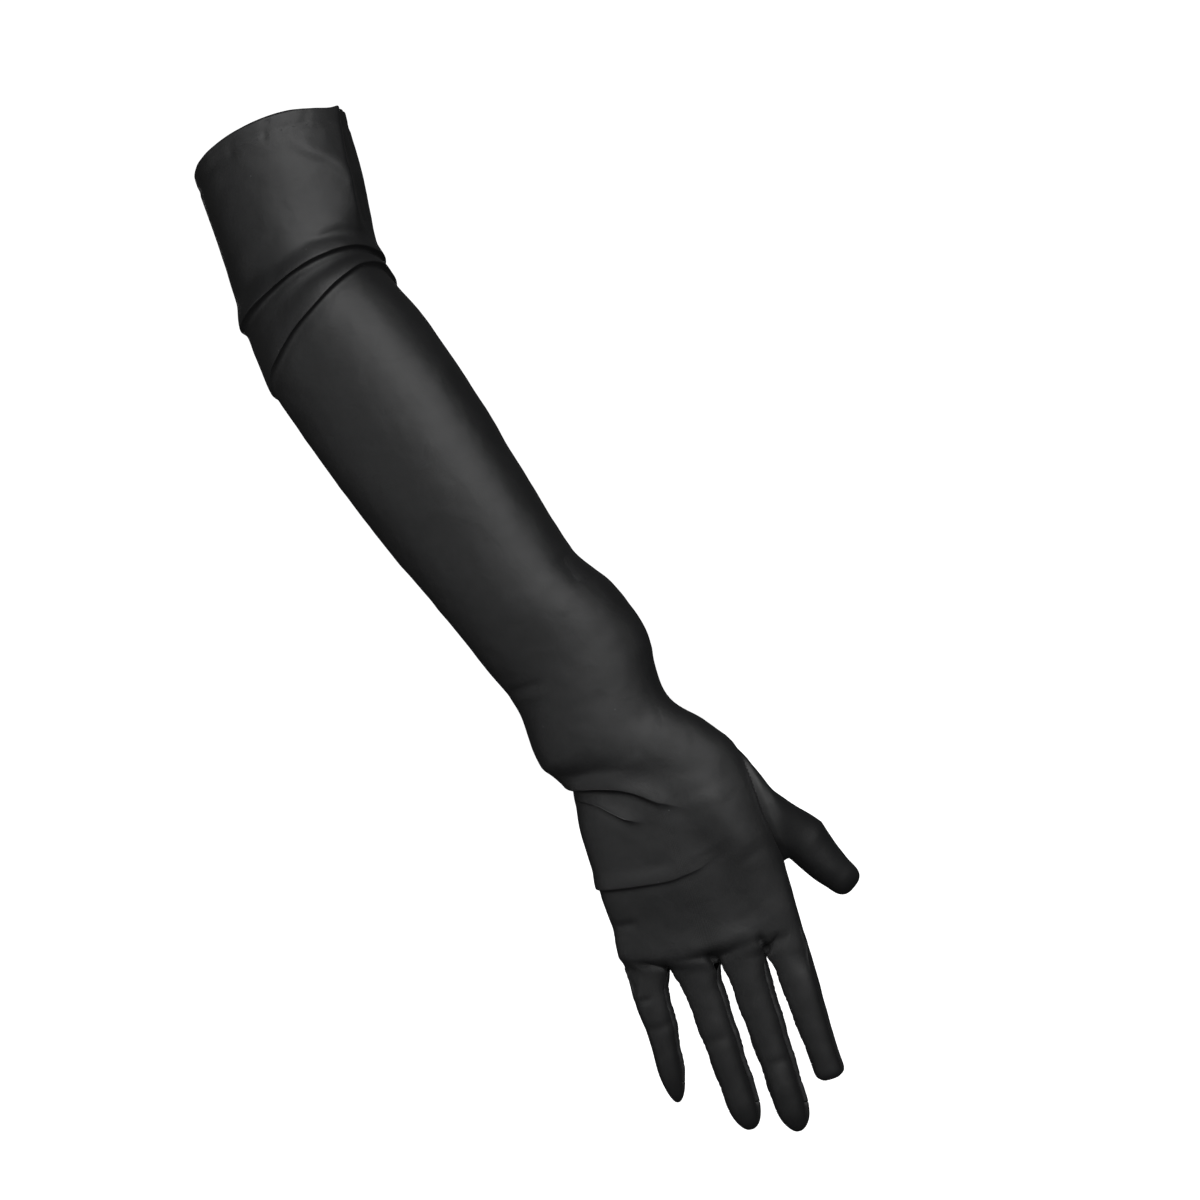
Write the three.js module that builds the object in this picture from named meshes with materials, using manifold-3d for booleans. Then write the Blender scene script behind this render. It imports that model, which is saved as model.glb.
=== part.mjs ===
// Long opera glove of black stretch satin for the right hand, in the shape that it has on an arm.
// Millimetres, +Z up. The origin is the centre of the arm opening, +X is the thumb side and -Y the back of the hand.
// The cloth is modelled as thin walls: a trank (sleeve, back, palm and finger faces in one piece), three fourchettes
// between the fingers, and a set-in thumb.
import * as THREE from "three";
import { mergeVertices } from "three/addons/utils/BufferGeometryUtils.js";
import Module from "manifold-3d";

// Driving dimensions: lengths down the glove
const upperLength = 65.5; // arm opening to the lip of the first elbow fold
const bandLength = 21.3; // first elbow fold to the second
const forearmLength = 229; // second elbow fold to the wrist crease
const palmLength = 98.7; // wrist crease to the crotches of the fingers

// Driving dimensions: widths across the glove and depths from back to palm
const openingWidth = 74.7;
const openingDepth = 73;
const elbowWidth = 68.2;
const elbowDepth = 69;
const forearmWidth = 73.6;
const forearmDepth = 66;
const wristWidth = 64.4;
const wristDepth = 44;
const palmWidth = 80.8;
const palmDepth = 34;

// Driving dimensions: cloth and seams
const clothWall = 1.2;
const hemWidth = 9; // cloth turned in at the arm opening
const hemWall = 2.3; // the two layers of the hem
const seamGap = 0.3; // clearance between two pieces that are sewn together
const fourchetteWidth = 8.6; // strip between two fingers, at the crotch
const fourchettePoint = 1.8; // the same strip at its fingertip end

// Driving dimensions: fingers
const fingerLength = 83; // the middle finger, from its crotches to its tip
const fingerWidth = 18.4;
const fingerDepth = 16.8;
const rootPadding = 1; // how much deeper a finger is at its root

// Driving dimensions: folds of the cloth
const foldHeight = 3; // the tallest, at the elbow
const ringSpacing = 32; // between two plain rings of the surface

// Driving dimensions: thumb
const thumbLength = 62; // base of the thumb to its tip
const thumbWidth = 17.6;
const thumbDepth = 17;
const thumbSeamLength = 58; // the seam's oval, along the hand
const thumbSeamSpread = 42; // the seam's oval round the edge of the hand, in degrees either way

// Counts of the faceted surface
const acrossFinger = 4; // facets across the back of one finger
const acrossSide = 2; // facets across a finger's side
const aroundThumb = 16;

const sleeveLength = upperLength + bandLength + forearmLength;
const trankLength = sleeveLength + palmLength;
const degrees = Math.PI / 180;

// Sections of the trank. down is the way from the arm opening along the glove. sway and forward are where the
// centre lies across and towards the wearer, tilt, lean and turn are the section's angles in degrees, back and palm
// its two half depths, and square its corners (2 is an ellipse).
const sections = [
  { down: 0, sway: 0, forward: 0, tilt: -2, lean: 5, turn: 0,
    width: openingWidth, back: openingDepth / 2, palm: openingDepth / 2, square: 2 },
  { down: upperLength * 0.5, sway: -0.0148, forward: -0.010, tilt: -2.5, lean: 7, turn: 0,
    width: openingWidth * 0.962, back: openingDepth * 0.49, palm: openingDepth * 0.49, square: 2 },
  { down: upperLength, sway: -0.0325, forward: -0.019, tilt: -3, lean: 12, turn: 0,
    width: elbowWidth, back: elbowDepth / 2, palm: elbowDepth / 2, square: 2 },
  { down: upperLength + bandLength, sway: -0.0372, forward: -0.029, tilt: 11, lean: 18, turn: 0,
    width: elbowWidth * 1.05, back: elbowDepth / 2, palm: elbowDepth / 2, square: 2 },
  { down: sleeveLength - forearmLength * 0.89, sway: -0.0280, forward: -0.037, tilt: 10, lean: 11, turn: 0,
    width: forearmWidth * 1.015, back: forearmDepth * 0.51, palm: forearmDepth * 0.52, square: 2 },
  { down: sleeveLength - forearmLength * 0.69, sway: -0.0150, forward: -0.048, tilt: 7, lean: 7, turn: 0,
    width: forearmWidth * 0.99, back: forearmDepth * 0.49, palm: forearmDepth / 2, square: 2 },
  { down: sleeveLength - forearmLength * 0.55, sway: -0.0055, forward: -0.055, tilt: 7, lean: 6, turn: 0,
    width: forearmWidth * 0.93, back: forearmDepth * 0.47, palm: forearmDepth * 0.48, square: 2 },
  { down: sleeveLength - forearmLength * 0.38, sway: 0.0085, forward: -0.064, tilt: 7, lean: 6, turn: 0,
    width: forearmWidth * 0.855, back: forearmDepth * 0.43, palm: forearmDepth * 0.44, square: 2 },
  { down: sleeveLength - forearmLength * 0.285, sway: 0.0234, forward: -0.068, tilt: 7, lean: 5, turn: 2,
    width: forearmWidth * 0.92, back: forearmDepth * 0.40, palm: forearmDepth * 0.41, square: 2 },
  { down: sleeveLength - forearmLength * 0.19, sway: 0.0310, forward: -0.070, tilt: 6, lean: 4, turn: 4,
    width: forearmWidth * 0.90, back: forearmDepth * 0.37, palm: forearmDepth * 0.38, square: 2.05 },
  { down: sleeveLength - forearmLength * 0.055, sway: 0.0228, forward: -0.075, tilt: 1, lean: 2, turn: 6,
    width: wristWidth * 0.995, back: wristDepth * 0.49, palm: wristDepth / 2, square: 2.1 },
  { down: sleeveLength + palmLength * 0.02, sway: 0.0425, forward: -0.077, tilt: -3, lean: 0, turn: 7,
    width: wristWidth * 1.025, back: wristDepth * 0.45, palm: wristDepth * 0.47, square: 2.15 },
  { down: sleeveLength + palmLength * 0.14, sway: 0.0490, forward: -0.078, tilt: -7, lean: -1, turn: 8,
    width: palmWidth * 0.925, back: palmDepth * 0.52, palm: palmDepth * 0.56, square: 2.25 },
  { down: sleeveLength + palmLength * 0.28, sway: 0.0450, forward: -0.078, tilt: -9, lean: -2, turn: 8,
    width: palmWidth * 0.995, back: palmDepth * 0.49, palm: palmDepth * 0.53, square: 2.35 },
  { down: sleeveLength + palmLength * 0.52, sway: 0.0358, forward: -0.077, tilt: -10, lean: -3, turn: 8,
    width: palmWidth, back: palmDepth * 0.44, palm: palmDepth * 0.47, square: 2.5 },
  { down: sleeveLength + palmLength * 0.75, sway: 0.0268, forward: -0.074, tilt: -12, lean: -5, turn: 8,
    width: palmWidth, back: palmDepth * 0.38, palm: palmDepth * 0.40, square: 2.6 },
  { down: trankLength, sway: 0.0148, forward: -0.070, tilt: -16.5, lean: -6, turn: 8,
    width: palmWidth * 0.995, back: palmDepth * 0.27, palm: palmDepth * 0.28, square: 2.6 },
];

// Folds of the cloth. down is where the lip lies. Height, over, before, after and slant are shares of foldHeight: how
// far the lip stands proud and hangs over, how far the fold reaches above and below it, and how much further down it
// lies at the thumb's side. side is the angle of its middle (90 is the back of the hand, 180 the little finger's side)
// and spread its reach either way, in degrees.
const folds = [
  { down: upperLength, height: 1, over: 1.15, before: 3.7, after: 1.7, slant: 0, side: 150, spread: 400 },
  { down: upperLength + bandLength, height: 0.85, over: 0.95, before: 3, after: 1.7, slant: 0, side: 100, spread: 400 },
  { down: sleeveLength - forearmLength * 0.02, height: 0.93, over: 1, before: 3, after: 2, slant: 1.7, side: 138,
    spread: 92 },
  { down: sleeveLength + palmLength * 0.52, height: 0.4, over: 0.35, before: 3, after: 2, slant: 0.3, side: 150,
    spread: 95 },
];

// The lip of a fold, from above it to below it: where a point lies without the fold and with it, and its rise.
// along is a share of the fold's before (above the lip) or after (below it), and over and rise are shares of its own.
const lip = [
  { along: -1, over: 0, rise: 0 },
  { along: -0.5, over: 0.15, rise: 0.5 },
  { along: -0.1, over: 0.7, rise: 0.95 },
  { along: 0, over: 1, rise: 0.75 },
  { along: 0.08, over: 0.75, rise: 0.3 },
  { along: 0.2, over: 0, rise: 0 },
  { along: 1, over: 0, rise: 0 },
];

// Fingers from the little finger to the index finger. length, width and depth are shares of the middle finger's, from
// and to the shares of the half palm width that each takes at its root, tipWidth and tipDepth shares of its own width
// and depth, aim its angle from straight down, in degrees towards the little finger, curl the share of its length that
// its tip bends towards the palm, tipStart where the tip begins to round off, and blunt how square the tip is.
const fingers = [
  { name: "little", length: 0.735, width: 0.91, depth: 0.905, from: -1, to: -0.516, tipWidth: 0.705, tipDepth: 0.69,
    aim: 15.4, curl: 0.148, tipStart: 0.72, blunt: 1.8 },
  { name: "ring", length: 0.952, width: 0.973, depth: 0.976, from: -0.516, to: 0.04, tipWidth: 0.84, tipDepth: 0.77,
    aim: 9.2, curl: 0.101, tipStart: 0.8, blunt: 2.1 },
  { name: "middle", length: 1, width: 1, depth: 1, from: 0.04, to: 0.538, tipWidth: 0.826, tipDepth: 0.774,
    aim: 9.9, curl: 0.096, tipStart: 0.82, blunt: 2.1 },
  { name: "index", length: 0.741, width: 0.94, depth: 0.976, from: 0.538, to: 1, tipWidth: 0.8, tipDepth: 0.7,
    aim: 8.4, curl: 0.081, tipStart: 0.9, blunt: 3.2 },
];
const fingerStations = [0, 0.03, 0.1, 0.24, 0.4, 0.57, 0.74, 0.86, 0.94, 0.985]; // shares of a finger's length
const fourchetteEnd = 7; // the station at which a fourchette comes to its point
const lobeReach = 0.22; // share of the palm over which the fingers' roots show

const sum = (...parts) => parts.reduce((total, part) => total.add(part), new THREE.Vector3());
const times = (vector, factor) => vector.clone().multiplyScalar(factor);
const mix = (a, b, share) => a + (b - a) * share;
const ease = (share) => {
  const s = Math.min(1, Math.max(0, share));
  return s * s * (3 - 2 * s);
};

// A smooth curve through one column of a table
function columnAt(rows, key, column, at) {
  let i = rows.findIndex((row) => row[key] >= at);
  i = Math.min(rows.length - 1, Math.max(1, i < 0 ? rows.length - 1 : i));
  const slope = (k) => {
    const a = rows[Math.max(0, k - 1)];
    const b = rows[Math.min(rows.length - 1, k + 1)];
    return (b[column] - a[column]) / (b[key] - a[key]);
  };
  const [p, q] = [rows[i - 1], rows[i]];
  const span = q[key] - p[key];
  const s = Math.min(1, Math.max(0, (at - p[key]) / span));
  const bend = (s ** 3 - 2 * s ** 2 + s) * slope(i - 1) + (s ** 3 - s ** 2) * slope(i);
  return p[column] + (q[column] - p[column]) * ease(s) + bend * span;
}

// The axes of a section: across it towards the thumb, out of its back, and up towards the arm opening
function axesOf(tilt, lean, turn) {
  const [t, l, w] = [tilt * degrees, lean * degrees, turn * degrees];
  const across = new THREE.Vector3(Math.cos(t), 0, Math.sin(t));
  const upright = new THREE.Vector3(-Math.sin(t), 0, Math.cos(t));
  const back = sum(new THREE.Vector3(0, -Math.cos(l), 0), times(upright, Math.sin(l)));
  const up = sum(times(upright, Math.cos(l)), new THREE.Vector3(0, Math.sin(l), 0));
  return {
    across: sum(times(across, Math.cos(w)), times(back, Math.sin(w))),
    back: sum(times(back, Math.cos(w)), times(across, -Math.sin(w))),
    up,
  };
}

function sectionAt(down) {
  const get = (column) => columnAt(sections, "down", column, down);
  const centre = new THREE.Vector3(get("sway") * trankLength, get("forward") * trankLength, -down);
  return {
    centre,
    tilt: get("tilt"), lean: get("lean"), turn: get("turn"),
    half: get("width") / 2, backDepth: get("back"), palmDepth: get("palm"), square: get("square"),
    ...axesOf(get("tilt"), get("lean"), get("turn")),
  };
}

const around = 2 * (4 * acrossFinger + acrossSide); // points of one ring of the trank
const sideAngle = (Math.PI * acrossSide) / around;
const ringAngle = (j) => -sideAngle + (2 * Math.PI * j) / around;

// A point of a rounded section, across and out, at an angle from the thumb side round by the back
function ovalPoint(section, angle, inset, rise) {
  const [c, s] = [Math.cos(angle), Math.sin(angle)];
  const power = 2 / section.square;
  const depth = s > 0 ? section.backDepth : section.palmDepth;
  return [
    Math.sign(c) * Math.abs(c) ** power * (section.half - inset + rise),
    Math.sign(s) * Math.abs(s) ** power * (depth - inset + rise),
  ];
}

// Half the width of a fourchette at a share of the finger's length
const stripHalf = (share) =>
  mix(fourchetteWidth, fourchettePoint, ease(share / fingerStations[fourchetteEnd])) / 2;

// A point of a finger's section. part is 0 to 3 for the thumb side, back, little finger's side and palm, and step
// runs from 0 to 1 along it. The flat sides are bowed, and strip is half the width of a side.
function fingerPoint(shape, part, step) {
  if (part === 0 || part === 2) {
    const turn = (step - 0.5) * Math.PI * (part === 0 ? 1 : -1);
    const out = shape.half - shape.bow + shape.bow * Math.cos(turn);
    return [part === 0 ? out : -out, shape.strip * Math.sin(turn)];
  }
  const turn = step * Math.PI;
  const depth = part === 1 ? shape.backDepth : shape.palmDepth;
  const out = shape.strip + (depth - shape.strip) * Math.sin(turn) ** 0.8;
  const side = (shape.half - shape.bow) * Math.cos(turn);
  return part === 1 ? [side, out] : [-side, -out];
}

// Which finger and which part of its section a point of the trank's last ring belongs to
function partOfRing(j) {
  const back = 4 * acrossFinger;
  if (j <= acrossSide) return { finger: 3, part: 0, step: j / acrossSide };
  const k = j - acrossSide;
  if (k <= back) {
    const finger = 3 - Math.min(3, Math.floor(k / acrossFinger));
    return { finger, part: 1, step: k / acrossFinger - (3 - finger) };
  }
  if (k < back + acrossSide) return { finger: 0, part: 2, step: (k - back) / acrossSide };
  const m = k - back - acrossSide;
  const finger = Math.min(3, Math.floor(m / acrossFinger));
  return { finger, part: 3, step: m / acrossFinger - finger };
}

// The section's shape where the trank ends and the fingers begin
function rootShape(finger, inset, trim, last) {
  const { from, to } = fingers[finger];
  const edge = palmWidth / 2;
  return {
    middle: ((from + to) / 2) * edge,
    half: ((to - from) / 2) * edge - (last ? inset / 2 : 0),
    bow: 0,
    strip: stripHalf(0) - trim - inset / 4,
    backDepth: (fingers[finger].depth * fingerDepth) / 2 + rootPadding - inset,
    palmDepth: (fingers[finger].depth * fingerDepth) / 2 + rootPadding - inset,
  };
}

// How far a fold's lip reaches at an angle, from 0 to 1
function foldStrength(fold, angle) {
  const off = Math.abs(((angle / degrees - fold.side + 540) % 360) - 180);
  return fold.spread >= 360 ? mix(1, 0.5, off / 180) : Math.cos((Math.min(1, off / fold.spread) * Math.PI) / 2) ** 2;
}

// Rings of the trank from the arm opening down. Each gives, at an angle, where it lies along the glove without the
// folds and with them, and how far the cloth stands out.
function trankRings() {
  const rings = [];
  const plain = (down, inset = clothWall) =>
    rings.push({ inset, flat: down, folded: (angle) => [down(angle), 0] });
  plain(() => 0, hemWall);
  plain(() => hemWidth * 0.85, hemWall);
  let above = () => hemWidth;
  plain(above);
  const lipLine = (fold) => (angle) => fold.down + fold.slant * foldHeight * Math.cos(angle);
  const reachPlain = (to, count) => {
    const from = above;
    for (let i = 1; i < count; i++) plain((angle) => mix(from(angle), to(angle), i / count));
  };
  for (const fold of folds) {
    const line = lipLine(fold);
    const [before, after] = [fold.before * foldHeight, fold.after * foldHeight];
    const start = (angle) => line(angle) - before;
    reachPlain(start, Math.max(1, Math.round((start(0) - above(0)) / ringSpacing)));
    for (const row of lip) {
      const flat = (angle) => line(angle) + row.along * (row.along < 0 ? before : after);
      const folded = (angle) => {
        const strength = foldStrength(fold, angle) * foldHeight;
        return [flat(angle) + row.over * fold.over * strength, row.rise * fold.height * strength];
      };
      rings.push({ inset: clothWall, flat, folded });
    }
    above = (angle) => line(angle) + after;
  }
  const end = () => trankLength;
  reachPlain(end, 4);
  plain(end);
  return rings;
}
const rings = trankRings();

// Numbers of the vertices: the trank's rings, then the webs between the fingers, then each finger's rings and tip
const webInside = acrossSide - 1;
const firstWeb = rings.length * around;
const fingerRound = 2 * (acrossFinger + acrossSide);
const firstFinger = firstWeb + 3 * webInside;
const fingerSize = (fingerStations.length - 1) * fingerRound + 1;
const vertexCount = firstFinger + fingers.length * fingerSize;
const rootVertex = (j) => (rings.length - 1) * around + (j % around);
const fingerVertex = (finger, ring, k) => firstFinger + finger * fingerSize + (ring - 1) * fingerRound + k;
const tipVertex = (finger) => firstFinger + (finger + 1) * fingerSize - 1;

// The vertices on the round of a finger's root: its own stretch of the trank's last ring, and the webs beside it
function rootRound(finger) {
  const backFrom = acrossSide + (3 - finger) * acrossFinger;
  const palmFrom = acrossSide * 2 + (4 + finger) * acrossFinger;
  const web = (boundary, step) => firstWeb + boundary * webInside + step - 1;
  const round = [];
  for (let i = 0; i < acrossSide; i++) {
    if (finger === 3) round.push(rootVertex(i));
    else round.push(i === 0 ? rootVertex(palmFrom + acrossFinger) : web(finger, i));
  }
  for (let i = 0; i < acrossFinger; i++) round.push(rootVertex(backFrom + i));
  for (let i = 0; i < acrossSide; i++) {
    if (i === 0) round.push(rootVertex(backFrom + acrossFinger));
    else if (finger === 0) round.push(rootVertex(backFrom + acrossFinger + i));
    else round.push(web(finger - 1, acrossSide - i));
  }
  for (let i = 0; i < acrossFinger; i++) round.push(rootVertex(palmFrom + i));
  return round;
}

// Where a finger's section lies and what shape it has, at a share of its length
function fingerSection(finger, share, inset, trim) {
  const row = fingers[finger];
  const root = sectionAt(trankLength);
  const start = sum(root.centre, times(root.across, rootShape(finger, 0, 0).middle));
  const length = row.length * fingerLength - inset;
  const aim = row.aim * degrees;
  const centre = sum(
    start,
    times(new THREE.Vector3(-Math.sin(aim), 0, -Math.cos(aim)), share * length),
    new THREE.Vector3(0, row.curl * length * share ** 1.6, 0),
  );
  const settle = ease(share / 0.25);
  const axes = axesOf(mix(root.tilt, -row.aim, settle), mix(root.lean, (-1.6 * row.curl * share ** 0.6) / degrees, settle), root.turn);
  const tip = Math.max(0, (share - row.tipStart) / (1 - row.tipStart));
  const round = (1 - tip ** row.blunt) ** (1 / row.blunt);
  const open = ease(share / 0.05);
  const rootHalf = rootShape(finger, 0, 0).half;
  const taper = (mix(1, row.tipWidth, ease(share / 0.9)) * row.width * fingerWidth) / 2;
  const half = mix(rootHalf, taper, open) * round - inset * open;
  const aside = finger === 0 ? -1 : finger === 3 ? 1 : 0;
  const flare = (mix(rootHalf, taper, ease(share / 0.5)) - mix(rootHalf, taper, open)) * aside;
  const thick = (row.depth * fingerDepth) / 2;
  const depth = mix(thick + rootPadding, thick * mix(1, row.tipDepth, share), open) * round - inset;
  const strip = Math.min(stripHalf(share) - trim - inset / 4, depth * 0.6);
  return {
    centre: sum(centre, times(axes.across, flare)),
    ...axes, half, bow: half * 0.16 * open, strip, backDepth: depth, palmDepth: depth,
  };
}

// All the vertices of one skin of the glove. inset is 0 for the outside; trim narrows the fourchettes.
function skin(inside, trim) {
  const points = [];
  for (const [index, ring] of rings.entries()) {
    const inset = inside ? ring.inset : 0;
    for (let j = 0; j < around; j++) {
      const angle = ringAngle(j);
      const [down, rise] = inside ? [ring.flat(angle), 0] : ring.folded(angle);
      const section = sectionAt(down);
      const [x, y] = ovalPoint(section, angle, inset, rise);
      const { finger, part, step } = partOfRing(j);
      const shape = rootShape(finger, inset, trim, finger === (part === 0 ? 3 : 0));
      const [u, v] = fingerPoint(shape, part, step);
      const last = index === rings.length - 1;
      const lobe = last ? 1 : ease(1 - (trankLength - down) / (palmLength * lobeReach)) ** 1.5;
      points.push(
        sum(
          section.centre,
          times(section.across, mix(x, shape.middle + u, lobe)),
          times(section.back, mix(y, v, lobe)),
          times(section.up, last && inside ? clothWall : 0),
        ),
      );
    }
  }
  const root = sectionAt(trankLength);
  const lift = inside ? clothWall : 0;
  for (let boundary = 0; boundary < 3; boundary++) {
    const strip = stripHalf(0) - trim - lift / 4;
    for (let i = 1; i < acrossSide; i++) {
      const out = strip * Math.sin((i / acrossSide - 0.5) * Math.PI);
      const side = (fingers[boundary].to * palmWidth) / 2;
      points.push(sum(root.centre, times(root.across, side), times(root.back, out), times(root.up, lift)));
    }
  }
  for (let finger = 0; finger < fingers.length; finger++) {
    for (let ring = 1; ring < fingerStations.length; ring++) {
      const trimmed = trim > 0 && ring === fourchetteEnd ? (trim * 1.5) / (fingers[finger].length * fingerLength) : 0;
      const shape = fingerSection(finger, fingerStations[ring] - trimmed, inside ? clothWall : 0, trim);
      for (let k = 0; k < fingerRound; k++) {
        const half = acrossFinger + acrossSide;
        const within = k % half;
        const onSide = within < acrossSide;
        const part = (k < half ? 0 : 2) + (onSide ? 0 : 1);
        const step = onSide ? within / acrossSide : (within - acrossSide) / acrossFinger;
        const [u, v] = fingerPoint(shape, part, step);
        points.push(sum(shape.centre, times(shape.across, u), times(shape.back, v)));
      }
    }
    points.push(fingerSection(finger, 1, inside ? clothWall : 0, trim).centre);
  }
  return points;
}

// Faces of the trank and of each fourchette, as loops of vertex numbers that run anticlockwise from outside
const trankFaces = [];
const fourchetteFaces = [[], [], []];
for (let i = 0; i < rings.length - 1; i++) {
  for (let j = 0; j < around; j++) {
    const next = (j + 1) % around;
    trankFaces.push([i * around + j, i * around + next, (i + 1) * around + next, (i + 1) * around + j]);
  }
}
for (let finger = 0; finger < fingers.length; finger++) {
  let upper = rootRound(finger);
  for (let ring = 1; ring < fingerStations.length; ring++) {
    const lower = upper.map((_, k) => fingerVertex(finger, ring, k));
    for (let k = 0; k < fingerRound; k++) {
      const next = (k + 1) % fingerRound;
      const half = acrossFinger + acrossSide;
      const boundary = k < half ? finger : finger - 1;
      const sewn = k % half < acrossSide && boundary >= 0 && boundary < 3 && ring <= fourchetteEnd;
      (sewn ? fourchetteFaces[boundary] : trankFaces).push([upper[k], upper[next], lower[next], lower[k]]);
    }
    upper = lower;
  }
  for (let k = 0; k < fingerRound; k++) {
    trankFaces.push([upper[k], upper[(k + 1) % fingerRound], tipVertex(finger)]);
  }
}

// A wall of cloth: the faces outside, the same faces inside turned round, and a rim along every open edge
function wallOf(faces, outer, inner) {
  const count = outer.length;
  const loops = [];
  const edges = new Map();
  for (const face of faces) {
    loops.push(face, face.map((v) => v + count).reverse());
    face.forEach((a, k) => edges.set(a + ">" + face[(k + 1) % face.length], [a, face[(k + 1) % face.length]]));
  }
  for (const [a, b] of edges.values()) {
    if (!edges.has(b + ">" + a)) loops.push([b, a, a + count, b + count]);
  }
  const points = [...outer, ...inner];
  const positions = [];
  for (const loop of loops) {
    for (let k = 1; k < loop.length - 1; k++) {
      for (const v of [loop[0], loop[k], loop[k + 1]]) positions.push(...points[v].toArray());
    }
  }
  const geometry = new THREE.BufferGeometry();
  geometry.setAttribute("position", new THREE.Float32BufferAttribute(positions, 3));
  return geometry;
}

const turnsOf = (count) => Array.from({ length: count }, (_, k) => (2 * Math.PI * k) / count);

// The thumb's seam is an oval on the surface of the trank. size is 1 on the seam and less inside it.
const thumbSeam = { down: sleeveLength + palmLength * 0.385, side: -29 };
function seamPoint(turn, size, out) {
  const down = thumbSeam.down - (thumbSeamLength / 2) * size * Math.cos(turn);
  const angle = (thumbSeam.side + thumbSeamSpread * size * Math.sin(turn)) * degrees;
  const section = sectionAt(down);
  const [x, y] = ovalPoint(section, angle, 0, out);
  return sum(section.centre, times(section.across, x), times(section.back, y));
}

// The thumb is a tube that starts inside the seam's oval. Its root is a surface that runs from the seam to the tube's
// first station.
const thumbBase = { across: 0.86, palm: 0.33 }; // shares of the half palm width and depth, where the tube starts
const thumbAim = { outward: 22, palmward: 11 }; // degrees from straight down
const thumbRoot = [0.1, 0.28, 0.5, 0.75]; // shares of the way from the seam to the tube
const thumbTube = [
  { share: 0.50, width: 1.18, depth: 1.06, outward: 0.10 },
  { share: 0.62, width: 1.12, depth: 1.00, outward: 0.06 },
  { share: 0.74, width: 0.99, depth: 0.94, outward: 0.01 },
  { share: 0.85, width: 0.88, depth: 0.82, outward: 0 },
  { share: 0.93, width: 0.80, depth: 0.63, outward: 0 },
  { share: 0.98, width: 0.64, depth: 0.36, outward: 0 },
];
const thumbDown = new THREE.Vector3(
  Math.sin(thumbAim.outward * degrees),
  Math.sin(thumbAim.palmward * degrees),
  -Math.cos(thumbAim.outward * degrees),
).normalize();

function thumbSkin(inset) {
  const base = sectionAt(thumbSeam.down);
  const start = sum(
    base.centre,
    times(base.across, base.half * thumbBase.across),
    times(base.back, -base.palmDepth * thumbBase.palm),
  );
  const outward = new THREE.Vector3(-thumbDown.z, 0, thumbDown.x).normalize();
  const backward = new THREE.Vector3().crossVectors(thumbDown, outward).normalize();
  const tubeRing = (station) =>
    turnsOf(aroundThumb).map((turn) =>
      sum(
        start,
        times(thumbDown, station.share * (thumbLength - inset)),
        times(outward, station.outward * thumbWidth + Math.cos(turn) * ((station.width * thumbWidth) / 2 - inset)),
        times(backward, Math.sin(turn) * ((station.depth * thumbDepth) / 2 - inset)),
      ),
    );
  const size = 1 - seamGap / (0.2 * thumbSeamLength);
  const first = tubeRing(thumbTube[0]);
  const paths = turnsOf(aroundThumb).map((turn, k) => {
    const from = seamPoint(turn, size, -inset);
    const out = seamPoint(turn, size, 1 - inset).sub(from);
    const outer = Math.max(0, Math.cos(turn)) * 0.48;
    const leave = sum(
      thumbDown,
      times(out, 0.25 + 0.45 * Math.abs(Math.sin(turn)) - outer * 0.5),
      times(outward, -outer),
    ).normalize();
    const arrive = sum(thumbDown, times(outward, outer)).normalize();
    const reach = first[k].distanceTo(from) * 0.4;
    return new THREE.CubicBezierCurve3(
      from,
      sum(from, times(leave, reach)),
      sum(first[k], times(arrive, -reach)),
      first[k],
    );
  });
  const points = paths.map((path) => path.v0);
  for (const share of thumbRoot) points.push(...paths.map((path) => path.getPoint(share)));
  for (const station of thumbTube) points.push(...tubeRing(station));
  points.push(sum(start, times(thumbDown, thumbLength - inset)));
  return points;
}

const thumbFaces = [];
const lastThumbRing = thumbRoot.length + thumbTube.length;
for (let i = 0; i < lastThumbRing; i++) {
  for (let k = 0; k < aroundThumb; k++) {
    const [a, b] = [i * aroundThumb + k, i * aroundThumb + ((k + 1) % aroundThumb)];
    thumbFaces.push([a, b, b + aroundThumb, a + aroundThumb]);
  }
}
const lastThumb = lastThumbRing * aroundThumb;
for (let k = 0; k < aroundThumb; k++) {
  thumbFaces.push([lastThumb + k, lastThumb + ((k + 1) % aroundThumb), lastThumb + aroundThumb]);
}

// The hole that the thumb is sewn into: a lens that follows the trank's surface and is thicker than its wall
function thumbHole() {
  const sizes = [0, 0.35, 0.7, 1];
  const reach = 3 * clothWall;
  const layer = (out) => {
    const points = [seamPoint(0, 0, out)];
    for (const size of sizes.slice(1)) {
      for (let k = 0; k < aroundThumb; k++) points.push(seamPoint((2 * Math.PI * k) / aroundThumb, size, out));
    }
    return points;
  };
  const faces = [];
  for (let k = 0; k < aroundThumb; k++) {
    const next = (k + 1) % aroundThumb;
    faces.push([0, 1 + next, 1 + k]);
    for (let i = 0; i < sizes.length - 2; i++) {
      const [inner, outer] = [1 + i * aroundThumb, 1 + (i + 1) * aroundThumb];
      faces.push([inner + k, inner + next, outer + next, outer + k]);
    }
  }
  return wallOf(faces.map((face) => [...face].reverse()), layer(reach), layer(-reach));
}

const wasm = await Module();
wasm.setup();

function solidOf(geometry) {
  const merged = mergeVertices(geometry, 1e-3);
  return new wasm.Manifold(
    new wasm.Mesh({
      numProp: 3,
      vertProperties: merged.attributes.position.array,
      triVerts: new Uint32Array(merged.index.array),
    }),
  );
}

function geometryOf(solid) {
  const made = solid.getMesh();
  const geometry = new THREE.BufferGeometry();
  geometry.setAttribute("position", new THREE.Float32BufferAttribute(made.vertProperties, 3));
  geometry.setIndex(new THREE.BufferAttribute(new Uint32Array(made.triVerts), 1));
  return geometry;
}

const glove = new THREE.Group();
const satin = (colour) => new THREE.MeshStandardMaterial({ color: colour, roughness: 0.5, metalness: 0 });
function add(name, geometry, material) {
  geometry.computeVertexNormals();
  const mesh = new THREE.Mesh(geometry, material);
  mesh.name = name;
  glove.add(mesh);
}

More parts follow.
